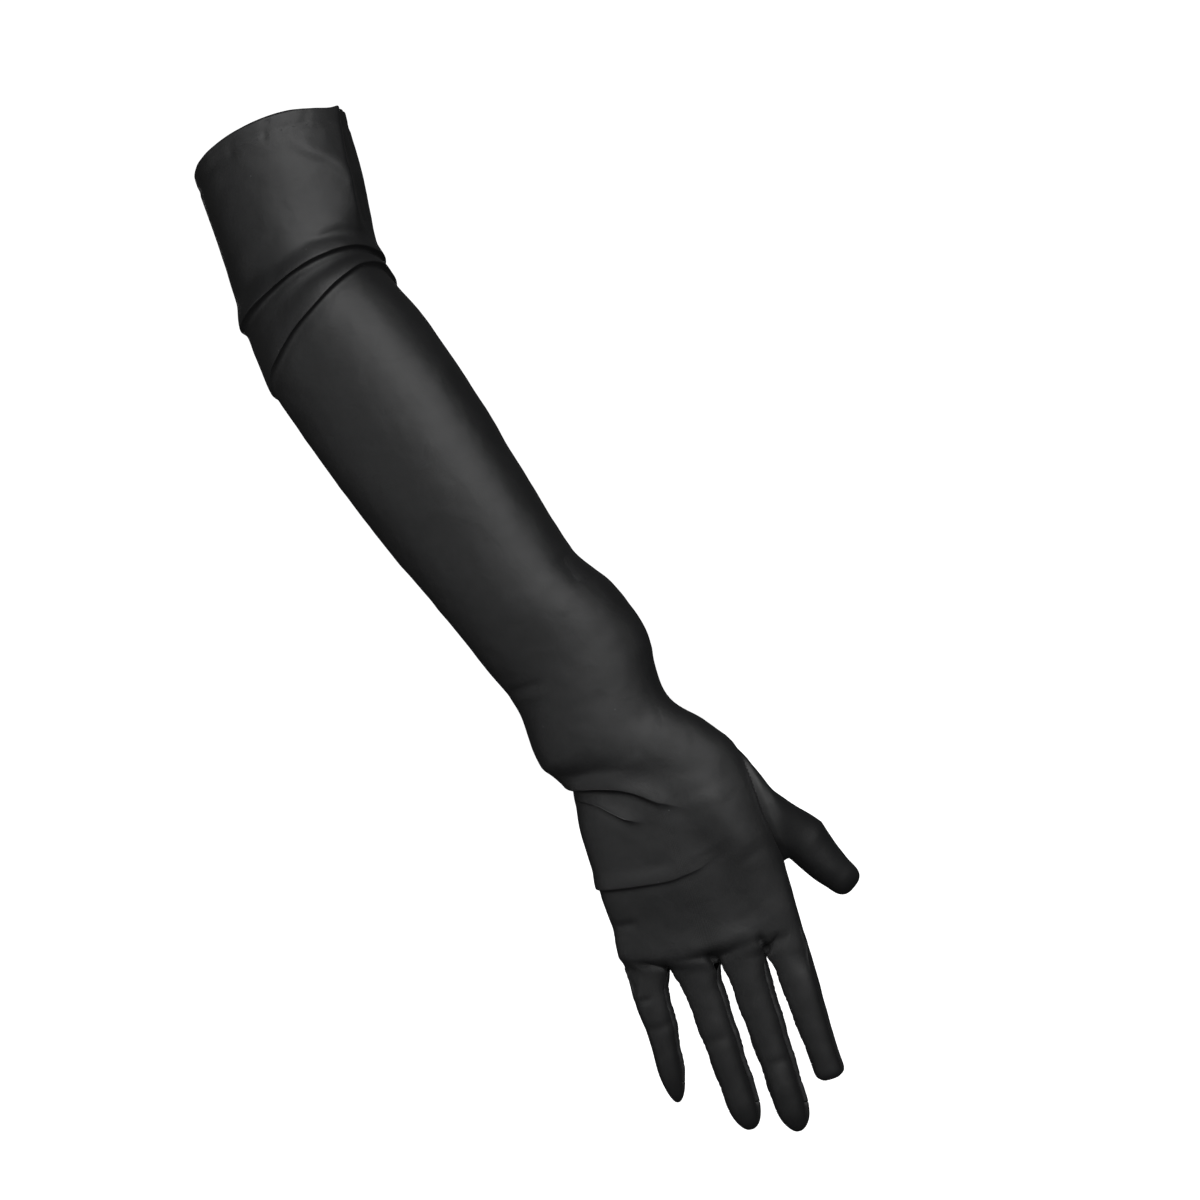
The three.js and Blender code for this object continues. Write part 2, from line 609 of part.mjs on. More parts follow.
const trankWall = solidOf(wallOf(trankFaces, skin(false, 0), skin(true, 0)));
add("trank", geometryOf(trankWall.subtract(solidOf(thumbHole()))), satin(0x1e1f20));
const [stripOuter, stripInner] = [skin(false, seamGap), skin(true, seamGap)];
fourchetteFaces.forEach((faces, k) => {
  const name = `fourchette_${fingers[k].name}_${fingers[k + 1].name}`;
  add(name, wallOf(faces, stripOuter, stripInner), satin(0x1a1b1c));
});
add("thumb", wallOf(thumbFaces, thumbSkin(0), thumbSkin(clothWall)), satin(0x1e1f20));

export default glove;
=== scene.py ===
import math

import bmesh
import bpy
import numpy as np
from mathutils import Matrix, Vector, noise


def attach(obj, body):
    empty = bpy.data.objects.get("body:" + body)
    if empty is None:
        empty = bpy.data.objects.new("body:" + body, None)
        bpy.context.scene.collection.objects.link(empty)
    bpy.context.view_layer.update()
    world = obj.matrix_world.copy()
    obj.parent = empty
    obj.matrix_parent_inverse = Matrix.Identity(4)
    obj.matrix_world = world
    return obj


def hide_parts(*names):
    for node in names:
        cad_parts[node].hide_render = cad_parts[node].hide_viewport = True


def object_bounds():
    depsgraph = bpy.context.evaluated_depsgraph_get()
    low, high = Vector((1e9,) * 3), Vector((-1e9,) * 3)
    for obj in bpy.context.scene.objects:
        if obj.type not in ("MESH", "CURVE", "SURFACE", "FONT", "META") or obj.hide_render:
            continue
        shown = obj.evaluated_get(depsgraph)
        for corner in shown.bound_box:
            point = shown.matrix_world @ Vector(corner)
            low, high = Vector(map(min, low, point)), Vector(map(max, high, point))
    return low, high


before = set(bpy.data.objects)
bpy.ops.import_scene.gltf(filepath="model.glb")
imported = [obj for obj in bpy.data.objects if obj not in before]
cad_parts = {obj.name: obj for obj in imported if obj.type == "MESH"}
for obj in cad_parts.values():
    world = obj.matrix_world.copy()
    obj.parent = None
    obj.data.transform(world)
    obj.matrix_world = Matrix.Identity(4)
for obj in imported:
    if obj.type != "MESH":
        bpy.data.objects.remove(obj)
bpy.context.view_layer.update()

# Camera. It looks straight at the back of the hand from well over an arm's length, and is turned so that
# the arm comes in from the upper left and the fingertips point to the lower right.
camera_place = (0.0348, -1.275, -0.2509)
camera_across = Vector((0.883, 0, -0.469)).normalized()
camera_up = Vector((0.469, 0, 0.883)).normalized()
camera_data = bpy.data.cameras.new("camera")
camera_data.lens = 85
camera_data.sensor_width = 36


def add_object(name, data):
    made = bpy.data.objects.new(name, data)
    bpy.context.scene.collection.objects.link(made)
    return made


camera = add_object("camera", camera_data)
camera.matrix_world = Matrix(
    (
        (camera_across.x, camera_up.x, 0, camera_place[0]),
        (camera_across.y, camera_up.y, -1, camera_place[1]),
        (camera_across.z, camera_up.z, 0, camera_place[2]),
        (0, 0, 0, 1),
    )
)
bpy.context.scene.camera = camera
bpy.context.view_layer.update()

# Trank. The sleeve, back, palm and finger faces in one piece of black stretch satin, cut flat and sewn with
# the seams turned in. It takes the arm's shape, with its spare length in folds at the elbow and the wrist.
# The upper edge is turned in to make the hem. Lengths are in millimetres.
trank_length = 414.5
palm_length = 98.7
palm_width = 80.8
cloth_wall = 1.2
hem_wall = 2.3
hem_width = 9.0
seam_gap = 0.3
arm_radius = 34  # for lengths that are measured round the sleeve
fourchette_width = 8.6
fourchette_point = 1.8
fourchette_end = 0.86  # share of a finger's length
finger_length = 83.0
finger_width = 18.4
finger_depth = 16.8
lobe_reach = 0.1  # share of the palm over which the fingers' roots show
side_angle = math.radians(10)
across_back = 24  # facets across the back of one finger
across_palm = 13
across_side = 6

# down, sway, forward, tilt, lean, turn, width, depth of the back, depth of the palm, squareness
trank_sections = np.array(
    [
        (0, 0, -1.8, -2, 5, 0, 74.7, 36.5, 36.5, 2),
        (32.75, -6.13, -4.15, -2.5, 7, 0, 71.86, 35.77, 35.77, 2),
        (65.5, -13.47, -7.88, -3, 12, 0, 68.2, 34.5, 34.5, 2),
        (86.8, -15.42, -12.02, 11, 18, 0, 71.61, 34.5, 34.5, 2),
        (111.99, -11.61, -15.34, 10, 11, 0, 74.7, 33.66, 34.32, 2),
        (157.79, -6.22, -19.9, 7, 7, 0, 72.86, 32.34, 33, 2),
        (189.85, -2.28, -22.8, 7, 6, 0, 68.45, 31.02, 31.68, 2),
        (228.78, 3.52, -26.53, 7, 6, 0, 62.93, 28.38, 29.04, 2),
        (250.54, 9.7, -28.19, 7, 5, 2, 67.71, 26.4, 27.06, 2),
        (272.29, 12.85, -29.02, 6, 4, 4, 66.24, 24.42, 25.08, 2.05),
        (303.2, 9.45, -31.09, 1, 2, 6, 64.08, 21.56, 22, 2.1),
        (317.77, 17.62, -31.92, -3, 0, 7, 66.01, 19.8, 20.68, 2.15),
        (329.62, 20.31, -32.33, -7, -1, 8, 74.74, 17.68, 19.04, 2.25),
        (343.44, 18.65, -32.33, -9, -2, 8, 80.4, 16.66, 18.02, 2.35),
        (367.12, 14.84, -31.92, -10, -3, 8, 80.8, 14.96, 15.98, 2.5),
        (389.83, 11.11, -30.67, -12, -5, 8, 80.8, 12.3, 13.4, 2.8),
        (414.5, 6.13, -29.02, -16.5, -6, 8, 80.4, 9.5, 9.52, 3.2),
    ]
)

# Little, ring, middle and index finger: length, width and depth as shares, where it starts and ends across
# the palm, width and depth at the tip, aim, curl, where the tip begins, its bluntness, half its root's depth
finger_rows = (
    (0.735, 0.91, 0.905, -1, -0.516, 0.705, 0.69, 15.4, 0.148, 0.72, 1.8, 7.9),
    (0.952, 0.973, 0.976, -0.516, 0.04, 0.84, 0.77, 9.2, 0.101, 0.8, 2.1, 9.3),
    (1, 1, 1, 0.04, 0.538, 0.826, 0.774, 9.9, 0.096, 0.82, 2.1, 9.2),
    (0.741, 0.94, 0.976, 0.538, 1, 0.8, 0.7, 8.4, 0.081, 0.9, 3.2, 8.0),
)

# Folds that hang over. Each has its lip's line as (angle, down, strength, softness of the shadow under it),
# then how far it stands out and hangs over, how far it reaches above its lip, and how deep the cloth is
# drawn in under it.
overhanging_folds = (
    (
        ((-110, 69.3, 0.5, 0.8), (-40, 68.3, 0.55, 0.6), (3, 68.8, 0.7, 0.5), (21, 69.8, 0.8, 0.5),
         (34.5, 68.3, 0.85, 0.6), (51, 67.3, 0.95, 0.8), (78.5, 68.3, 1, 0.85), (99, 69.8, 1, 0.5),
         (112, 70.8, 1, 0.6), (140, 70.8, 1.1, 1.4), (160, 70.8, 0.95, 1.7), (178, 70.3, 0.7, 1.7),
         (210, 69.3, 0.5, 1.2)),
        2.8, 1.0, 10, 0.5,
    ),
    (
        ((-110, 87.8, 0.4, 0.8), (-40, 87.3, 0.5, 0.6), (-2, 85.8, 0.75, 0.5), (10.5, 84.1, 0.9, 0.5),
         (27, 84.4, 1, 0.6), (45, 84.8, 1, 0.6), (62, 86.8, 1, 0.6), (78, 88.4, 1, 0.6),
         (95, 90.1, 1, 0.5), (113.5, 91, 1, 0.55), (136, 92.2, 0.9, 0.9), (153, 92.6, 0.7, 1.3),
         (168, 94.8, 0.45, 1.5), (210, 92.8, 0.4, 1.2)),
        2.5, 0.9, 13, 0.4,
    ),
    (
        ((60, 354, 0, 1), (74, 348.5, 0, 1), (83.5, 344, 0.06, 1), (89.5, 340.5, 0.3, 0.9),
         (94, 337, 0.55, 0.8), (100.5, 332.5, 0.8, 0.9), (109, 328.5, 1, 1.2), (123, 324.5, 1.15, 1.7),
         (150, 320, 1.2, 1.9), (172, 317, 1, 1.6), (205, 314, 0.5, 1), (232, 313, 0, 1)),
        2.5, 1.1, 9, 0.6,
    ),
    (
        ((92, 349.6, 0, 1), (100, 346.6, 0, 1), (106, 344.6, 0.25, 0.9), (112, 341.6, 0.8, 0.9),
         (119, 337.6, 1.1, 0.8), (131, 332.3, 1, 0.6), (150, 328.6, 0.4, 0.6), (172, 326.6, 0, 1)),
        1.5, 0.8, 6.0, 0.5,
    ),
    (
        ((62, 365.9, 0, 1), (73.5, 368.9, 0, 1), (81.5, 371.9, 0.12, 0.8), (89, 372.9, 0.3, 0.7),
         (95.5, 373.4, 0.5, 0.7), (118, 371.4, 0.8, 0.9), (140, 369.9, 1, 1), (162.5, 368.9, 1.1, 1.1),
         (195, 368.4, 0.5, 0.9), (225, 368.4, 0, 1)),
        1.2, 0.8, 8, 0.35,
    ),
)


def ease(share):
    s = np.clip(share, 0, 1)
    return s * s * (3 - 2 * s)


def swell(at, middle, width):
    """A smooth swell that is 1 at its middle."""
    return np.exp(-(((at - middle) / width) ** 2))


def column_at(table, column, at):
    """A smooth curve through one column of a table, whose first column is the key."""
    keys, values = table[:, 0], table[:, column]
    k = np.arange(len(keys))
    before, after = np.maximum(k - 1, 0), np.minimum(k + 1, len(keys) - 1)
    slopes = (values[after] - values[before]) / (keys[after] - keys[before])
    i = np.clip(np.searchsorted(keys, at), 1, len(keys) - 1)
    span = keys[i] - keys[i - 1]
    s = np.clip((at - keys[i - 1]) / span, 0, 1)
    bend = (s**3 - 2 * s**2 + s) * slopes[i - 1] + (s**3 - s**2) * slopes[i]
    return values[i - 1] + (values[i] - values[i - 1]) * ease(s) + bend * span


def axes_of(tilt, lean, turn):
    """The axes of a section: across it towards the thumb, out of its back, and up the arm."""
    t, n, w = np.radians(tilt), np.radians(lean), np.radians(turn)
    zero = np.zeros_like(t)
    across = np.stack([np.cos(t), zero, np.sin(t)], -1)
    upright = np.stack([-np.sin(t), zero, np.cos(t)], -1)
    forth = np.stack([zero, np.ones_like(t), zero], -1)
    cn, sn, cw, sw = (f(v)[..., None] for v in (n, w) for f in (np.cos, np.sin))
    back = upright * sn - forth * cn
    return across * cw + back * sw, back * cw - across * sw, upright * cn + forth * sn


def section_at(down):
    get = [column_at(trank_sections, column, down) for column in range(10)]
    across, back, up = axes_of(get[3], get[4], get[5])
    return {
        "centre": np.stack([get[1], get[2], -down], -1),
        "across": across, "back": back, "up": up, "angles": get[3:6],
        "half": get[6] / 2, "back_depth": get[7], "palm_depth": get[8], "square": get[9],
    }


def oval_point(section, angle, out):
    """Across and out of a rounded section, at an angle from the thumb's side round by the back."""
    c, s = np.cos(angle), np.sin(angle)
    power = 2 / section["square"]
    depth = np.where(s > 0, section["back_depth"], section["palm_depth"])
    across = np.sign(c) * np.abs(c) ** power * (section["half"] + out)
    return across, np.sign(s) * np.abs(s) ** power * (depth + out)


def placed(section, across, out):
    return section["centre"] + section["across"] * across[..., None] + section["back"] * out[..., None]


def strip_half(share):
    return (fourchette_width + (fourchette_point - fourchette_width) * ease(share / fourchette_end)) / 2


def finger_point(part, step, half, bows, strip, depth):
    """A point of a finger's section. Parts 0 and 2 are its sides to the thumb and to the little finger, 1 is
    its back and 3 its palm. The two bows are how far the sides stand out past their seams."""
    right, left = bows
    side = (part == 0) | (part == 2)
    turn = np.where(side, (step - 0.5) * math.pi * np.where(part == 0, 1, -1), step * math.pi)
    right_side = half - right + right * np.cos(turn)
    left_side = half - left + left * np.cos(turn)
    rounded = strip + (depth - strip) * np.abs(np.sin(turn)) ** 0.8
    reach = (half - (right + left) / 2) * np.cos(turn)
    shift = (left - right) / 2
    x = np.choose(part, [right_side, shift + reach, -left_side, shift - reach])
    return x, np.where(side, strip * np.sin(turn), np.where(part == 1, rounded, -rounded))


def crowded(count):
    """Steps from 0 to 1 that lie closer together at both ends."""
    k = np.arange(count) / count
    return 0.35 * k + 0.65 * (1 - np.cos(math.pi * k)) / 2


# The points of one ring: which finger, which part of its section, how far along that, and the angle round
ring_rows = []
for i in range(across_side):
    ring_rows.append((3, 0, i / across_side, -side_angle + 2 * side_angle * i / across_side))
back_span = math.pi - 2 * side_angle
for i, finger in enumerate((3, 2, 1, 0)):
    for step in crowded(across_back):
        ring_rows.append((finger, 1, step, side_angle + back_span * (i + step) / 4))
for i in range(across_side):
    ring_rows.append((0, 2, i / across_side, math.pi - side_angle + 2 * side_angle * i / across_side))
for i, finger in enumerate((0, 1, 2, 3)):
    for step in crowded(across_palm):
        ring_rows.append((finger, 3, step, math.pi + side_angle + back_span * (i + step) / 4))
ring_finger, ring_part, ring_step, ring_angle = (np.array(column) for column in zip(*ring_rows))
around = len(ring_rows)

# Where the rings of the outer skin lie down the glove: close together along each fold
above_lip = (-10, -8.6, -7.2, -5.9, -4.7, -3.7, -2.8, -2, -1.3, -0.7, -0.25)
fold_offsets = np.array(above_lip + (0.02, 0.22, 0.5, 0.9, 1.4, 2, 2.8, 3.8, 5))
wide_row, root_row, least_row = 1.75, 1.3, 0.12  # between folds, near the fingers' roots, and anywhere


def fold_line(fold):
    """The lip's place down the glove, its strength, slope and softness at each point round the glove."""
    columns = [np.array(column, float) for column in zip(*fold[0])]
    angle, down, strength, soft = (np.concatenate([c, c[:1]]) for c in columns)
    angle[-1] += 360
    here = (np.degrees(ring_angle) - angle[0]) % 360 + angle[0]
    table = np.stack([angle, down, strength, soft], -1)
    line, power = column_at(table, 1, here), np.maximum(0, column_at(table, 2, here))
    ahead = column_at(table, 1, np.minimum(here + 2, angle[-1]))
    slope = (ahead - line) / (math.radians(2) * arm_radius)
    return line, power, 1 / np.sqrt(1 + slope**2), column_at(table, 3, here)


fold_lines = [fold_line(fold) for fold in overhanging_folds]
trank_downs = [np.full(around, d) for d in (0, 0.06, 0.22, 0.5, 0.9, 1.4, 2.2, 3.2, 4.3)]
for line, _, _, _ in fold_lines:
    last = trank_downs[-1]
    offsets = fold_offsets
    if np.median(line + offsets[0] - last) < 2:
        offsets = offsets[offsets > -2.5]
    first = np.maximum(line + offsets[0], last + 10 * least_row)
    gap = float(np.median(first - last))
    count = max(1, round(gap / wide_row))
    for i in range(1, count):
        trank_downs.append(last + (first - last) * i / count)
    for offset in offsets:
        trank_downs.append(np.maximum(line + offset, trank_downs[-1] + least_row))
last = trank_downs[-1]
count = round(float(np.median(trank_length - last)) / root_row)
for i in range(1, count + 1):
    trank_downs.append(last + (trank_length - last) * i / count)
trank_downs = np.array(trank_downs)


def folded(down):
    """Where the cloth lies once it is folded: moved down the glove, and out of it."""
    shift, rise = np.zeros_like(down), np.zeros_like(down)
    for (_, height, over, before, draw), (line, power, narrow, soft) in zip(overhanging_folds, fold_lines):
        s = (down - line) * narrow
        crest = ease(1 + s / before)
        under = np.exp(-np.maximum(s, 0) / soft)
        hollow = ease(s / (2 * soft)) * ease(1 - (s - 2 * soft) / 5)
        shift += power * over * np.where(s <= 0, crest**1.5, under)
        rise += power * (height * np.where(s <= 0, crest, under) - draw * hollow)
    return down + shift, rise


# How far the crown of the back lies towards the thumb's side: down, and millimetres
crown_shift = np.array(
    [(0, 5), (50, 5), (70, 3), (90, 6), (120, 9), (200, 9), (250, 6), (300, 3), (330, 0), (415, 0)]
)


def depth_at(section, x, side, grow):
    """How far out of a rounded section its surface lies at a distance across it."""
    share = np.clip(np.abs(x) / (section["half"] + grow), 0, 1)
    deepest = np.where(side > 0, section["back_depth"], section["palm_depth"]) + grow
    return side * deepest * (1 - share ** section["square"]) ** (1 / section["square"])


def root_ring(inset, trim):
    """Across and out of the ring that the fingers begin at, and how far the outer two follow the palm."""
    begins, ends, root_depth = np.array(finger_rows)[ring_finger][:, (3, 4, 11)].T
    last = ring_finger == np.where(ring_part == 0, 3, 0)
    middle = (begins + ends) * palm_width / 4
    half = (ends - begins) * palm_width / 4 - np.where(last, inset / 2, 0)
    strip = strip_half(0) - trim - inset / 4
    u, v = finger_point(ring_part, ring_step, half, (0, 0), strip, root_depth - inset)
    section = section_at(np.array([trank_length]))
    near = np.minimum(np.abs(middle + u), 0.985 * section["half"])
    face = depth_at(section, near, np.sign(np.sin(ring_angle)), -inset)
    edge = oval_point(section, ring_angle, -inset)[1]
    palm = np.where((ring_part == 0) | (ring_part == 2), edge, face)
    outer = ((ring_finger == 3) & (u > 0)) | ((ring_finger == 0) & (u < 0))
    return middle + u, v, np.where(outer, palm - v, 0)


def trank_rings(down, out, inset, trim):
    """The trank's rings, which pass from the arm's round to the four lobes that the fingers grow from."""
    section = section_at(down)
    across, back = oval_point(section, ring_angle, out - inset)
    across = across + column_at(crown_shift, 1, down) * np.maximum(0, back / section["back_depth"]) ** 1.5
    root_across, root_out, follow = root_ring(float(inset[-1].max()), trim)
    lobe = ease(1 - (trank_length - down) / (palm_length * lobe_reach)) ** 1.5
    lobe[-1] = 1
    root_across = root_across + out * np.cos(ring_angle)
    side = np.sign(np.sin(ring_angle))
    moved_across = across + (root_across - across) * lobe
    root_face = depth_at(section, root_across, side, out - inset)[-1]
    sunk = (root_out + follow + out[-1] * side - root_face) * lobe
    lobed = depth_at(section, moved_across, side, out - inset) + sunk
    points = placed(section, moved_across, np.where(lobe > 0, lobed, back))
    points[-1] += section["up"][-1] * inset[-1].max()
    return points


def web_points(inset, trim):
    """The lines between the fingers, from the back to the palm, at the crotches."""
    root = section_at(np.array([trank_length]))
    strip = strip_half(0) - trim - inset / 4
    step = np.arange(1, across_side) / across_side
    out = strip * np.sin((step - 0.5) * math.pi)
    lines = [placed(root, np.full_like(out, row[4] * palm_width / 2), out) for row in finger_rows[:3]]
    return np.concatenate(lines) + root["up"] * inset


root_stations, seam_stations = 7, 46
finger_stations = np.concatenate(
    [
        np.linspace(0, 0.06, root_stations),
        np.linspace(0.075, fourchette_end, seam_stations),
        fourchette_end + (1 - fourchette_end) * np.sin(np.linspace(0, math.pi / 2, 15)[1:-1]),
    ]
)
sewn_stations = root_stations + seam_stations - 1


def root_points(finger):
    """The points of the trank's last ring that a finger's ring has, with those of both sides of the palm."""
    return np.flatnonzero((ring_finger == finger) | (ring_part % 2 == 0))


finger_parts, finger_steps = ring_part[root_points(0)], ring_step[root_points(0)]


def finger_rings(finger, share, inset, trim):
    """The rings of one finger, at shares of its length, as an array of points."""
    long, wide, thick, begin, end, tip_width, tip_depth = finger_rows[finger][:7]
    aim, curl, tip_from, blunt, root_depth = finger_rows[finger][7:]
    root = section_at(np.array([trank_length]))
    start = root["centre"][0] + root["across"][0] * (begin + end) * palm_width / 4
    length = long * finger_length - inset
    way = (-math.sin(math.radians(aim)), 0, -math.cos(math.radians(aim)))
    centre = start + np.outer(share * length, way)
    centre[:, 1] += curl * length * share**1.6 + 0.1 * length * share * np.exp(-6 * share)
    settle = ease(share / 0.25)
    tilt, lean, turn = (float(a[0]) for a in root["angles"])
    lean_end = np.degrees(-1.6 * curl * share**0.6)
    lean = lean + (lean_end - lean) * settle
    across, back, _ = axes_of(tilt - (aim + tilt) * settle, lean, np.full_like(share, turn))
    tip = np.maximum(0, (share - tip_from) / (1 - tip_from))
    rounded = (1 - np.minimum(tip, 1) ** blunt) ** (1 / blunt)
    spread = ease(share / 0.16) ** 0.6
    root_half = (end - begin) * palm_width / 4
    taper = (1 + (tip_width - 1) * ease(share / 0.9)) * wide * finger_width / 2
    half = (root_half + (taper - root_half) * spread) * rounded - inset * spread
    aside = {0: -1, 3: 1}.get(finger, 0)
    flare = (taper - root_half) * (ease(share / 0.5) - spread) * aside
    thick = root_depth + (thick * finger_depth / 2 - root_depth) * ease(share / 0.35)
    depth = thick * (1 + (tip_depth - 1) * share) * rounded - inset
    strip = np.minimum(strip_half(share) - trim - inset / 4, depth * 0.6)
    middle = centre + across * flare[:, None]
    section = {"centre": middle[:, None], "across": across[:, None], "back": back[:, None]}
    bulges = (0.16 if finger == 3 else 0.25, 0.16 if finger == 0 else 0.12)
    bows = [(half * bulge * spread)[:, None] for bulge in bulges]
    x, y = finger_point(finger_parts, finger_steps, half[:, None], bows, strip[:, None], depth[:, None])
    follow = (root_ring(inset, trim)[2] * (ring_finger == finger))[root_points(finger)]
    return placed(section, x, y + follow * (1 - ease(share / 0.3))[:, None]), centre[-1]


def glove_skin(downs, outs, insets, trim):
    """All the points of one skin: the trank's rings, the webs, then each finger's rings and its tip."""
    inset = float(insets[-1].max())
    points = [trank_rings(downs, outs, insets, trim).reshape(-1, 3), web_points(inset, trim)]
    for finger in range(4):
        shares = finger_stations[1:].copy()
        if trim:
            shares[sewn_stations - 1] -= trim * 1.5 / (finger_rows[finger][0] * finger_length)
        rings, _ = finger_rings(finger, shares, inset, trim)
        tip = finger_rings(finger, np.array([0.9999]), inset, trim)[1]
        points += [rings.reshape(-1, 3), tip[None]]
    return np.concatenate(points)


def ring_quads(rings, count):
    """The faces between rings of points that follow one another."""
    quads = []
    for a in range(0, (rings - 1) * count, count):
        for k in range(count):
            n = (k + 1) % count
            quads.append([a + k, a + n, a + count + n, a + count + k])
    return quads


def glove_faces(ring_count):
    """Faces of the trank and of the three fourchettes, anticlockwise from outside, by numbers of points."""
    trank, strips = ring_quads(ring_count, around), [[], [], []]
    root = (ring_count - 1) * around
    first_web = ring_count * around
    left = across_side + across_back
    ring_size = len(finger_parts)
    stations = len(finger_stations) - 1
    first_finger = first_web + 3 * (across_side - 1)
    finger_size = stations * ring_size + 1
    for finger in range(4):
        upper = root + root_points(finger)
        web = first_web + finger * (across_side - 1) + np.arange(across_side - 1)
        if finger < 3:
            upper[0] = upper[-1] + 1
            upper[1:across_side] = web
        if finger > 0:
            upper[left] = upper[left - 1] + 1
            upper[left + 1 : left + across_side] = (web - (across_side - 1))[::-1]
        upper = upper.tolist()
        for station in range(stations):
            lower = [first_finger + finger * finger_size + station * ring_size + k for k in range(ring_size)]
            for k in range(ring_size):
                side = {0: finger, 2: finger - 1}.get(int(finger_parts[k]), -1)
                sewn = 0 <= side < 3 and station < sewn_stations
                n = (k + 1) % ring_size
                (strips[side] if sewn else trank).append([upper[k], upper[n], lower[n], lower[k]])
            upper = lower
        tip = first_finger + (finger + 1) * finger_size - 1
        trank += [[upper[k], upper[(k + 1) % ring_size], tip] for k in range(ring_size)]
    return trank, strips


def point_normals(points, faces):
    """The outward direction at each point, from the quads and triangles round it."""
    loops = np.array([f if len(f) == 4 else f + f[-1:] for f in faces])
    corner = points[loops]
    normal = np.cross(corner[:, 2] - corner[:, 0], corner[:, 3] - corner[:, 1])
    total = np.zeros_like(points)
    for k in range(4):
        np.add.at(total, loops[:, k], normal)
    return total / np.maximum(np.linalg.norm(total, axis=1, keepdims=True), 1e-9)


pixel_size = 0.45  # millimetres
picture_middle = 600
camera_distance = 1275


def in_picture(points):
    """Where points appear in the 1200-pixel square picture of the back of the hand."""
    k = pixel_size * (camera_distance + points[:, 1]) / camera_distance
    offset = points - np.array(camera_place) * 1000
    ways = (np.array(camera_across), -np.array(camera_up))
    return np.stack([picture_middle + offset @ way / k for way in ways], -1)


# Shallow creases on the back, as lines in the picture: points, then height (below 0 for a groove) and width
# in millimetres, and how much steeper the crease is on its lower right side
back_creases = (
    (((298, 145), (312, 152), (325, 157), (338, 165), (350, 175), (360, 188)), 1.1, 5.0, 2.4),
    (((268, 119), (263, 129), (264, 138)), -0.4, 1.3, 1.0),
    (((307, 112), (305, 121), (297, 129), (295, 141)), -0.3, 1.5, 1.0),
    (((231, 141), (229, 149), (232, 157)), -0.35, 1.3, 1.0),
    (((316, 234), (325, 227), (340, 224), (362, 228)), 0.7, 2.6, 1.6),
    (((300, 240), (318, 236), (350, 234)), -0.4, 2.0, 1.0),
    (((568, 548), (580, 561), (590, 580)), -1.6, 9.0, 1.0),
    (((648, 600), (652, 629), (660, 655)), 2.2, 9.0, 1.0),
    (((508, 693), (524, 690), (541, 685)), -0.7, 2.0, 1.0),
    (((512, 700), (526, 697), (545, 690)), 0.5, 2.6, 1.0),
    (((608, 928), (619, 927), (633, 924)), -0.6, 1.8, 1.0),
    (((622, 966), (633, 972), (634, 990)), -0.6, 2.0, 1.0),
    (((634, 1004), (641, 1002), (649, 1000)), -0.5, 1.5, 1.0),
    (((616, 938), (619, 950), (622, 960)), 0.8, 3.5, 1.0),
    (((648, 1030), (660, 1028), (674, 1022)), -0.35, 2.2, 1.0),
    (((704, 1046), (716, 1041), (728, 1037)), -0.25, 2.4, 1.0),
    (((770, 1066), (782, 1061), (797, 1058)), -0.4, 2.0, 1.0),
    (((776, 1074), (780, 1084), (778, 1100)), 0.35, 2.6, 1.0),
    (((606, 959), (624, 959), (642, 960), (660, 959), (686, 956), (707, 951)), 0.4, 6.0, 6.0),
    (((719, 953), (728, 946), (738, 941), (748, 939), (759, 937)), 0.3, 8.0, 8.0),
    (((606, 961), (624, 961), (642, 962), (660, 961), (686, 958), (709, 953)), 0.7, 11.0, 2.3),
    (((719, 955), (728, 948), (738, 943), (748, 941), (759, 939)), 0.15, 9.0, 2.3),
    (((704, 788), (726, 818), (752, 855)), 1.4, 9.0, 1.0),
    (((664, 700), (688, 706), (712, 716)), 1.0, 7.5, 1.0),
    (((560, 770), (600, 766), (632, 764)), 0.7, 7.0, 1.0),
    (((706, 850), (728, 885), (748, 930)), -1.2, 10.0, 1.0),
)

# The cloth is pinched into a small hollow at each crotch, in both of its faces
crotch_pits = (
    (((710, 956), (715, 962), (719, 969)), -2.8, 1.5, 1.0),
    (((760, 939), (763, 944), (767, 951)), -2.6, 1.3, 1.0),
    (((666, 965), (669, 970), (671, 974)), -1.4, 1.1, 1.0),
)


def crease_depth(points, normals, creases):
    """How far the creases on the back move each point out. They fade at their ends and towards the sides."""
    seen = in_picture(points)
    facing = ease((0.2 - normals[:, 1]) / 0.5)
    depth = np.zeros(len(points))
    for line, height, width, steep in creases:
        line = np.array(line, float)
        best, side, along = np.full(len(points), 1e9), np.zeros(len(points)), np.zeros(len(points))
        lengths = np.linalg.norm(np.diff(line, axis=0), axis=1)
        run = np.concatenate([[0], np.cumsum(lengths)]) / lengths.sum()
        for k in range(len(line) - 1):
            a, b = line[k], line[k + 1]
            t = np.clip(((seen - a) @ (b - a)) / (lengths[k] ** 2), 0, 1)
            off = seen - a - t[:, None] * (b - a)
            far = np.linalg.norm(off, axis=1)
            nearer = far < best
            best = np.where(nearer, far, best)
            cross = (b - a)[0] * off[:, 1] - (b - a)[1] * off[:, 0]
            side = np.where(nearer, np.sign(cross), side)
            along = np.where(nearer, run[k] + (run[k + 1] - run[k]) * t, along)
        spread = np.where(side > 0, width / steep, width) / pixel_size
        fade = np.sqrt(np.clip(np.minimum(along, 1 - along) * 5 + 0.25, 0, 1))
        depth += height * swell(best, 0, spread) * fade
    return depth * facing


def soft_waves(points, size, seed):
    """The slight unevenness of cloth that is drawn over an arm, from -1 to 1."""
    shift = Vector((seed * 13.7, seed * 7.1, seed * 3.3))
    return np.array([noise.noise(Vector(p) / size + shift) for p in points])


thumb_seam_down = 353.8
thumb_seam_side = -29.0
thumb_seam_length = 58.0
thumb_seam_spread = 42.0
thumb_seam_radius = 27.0  # between its half length and half width


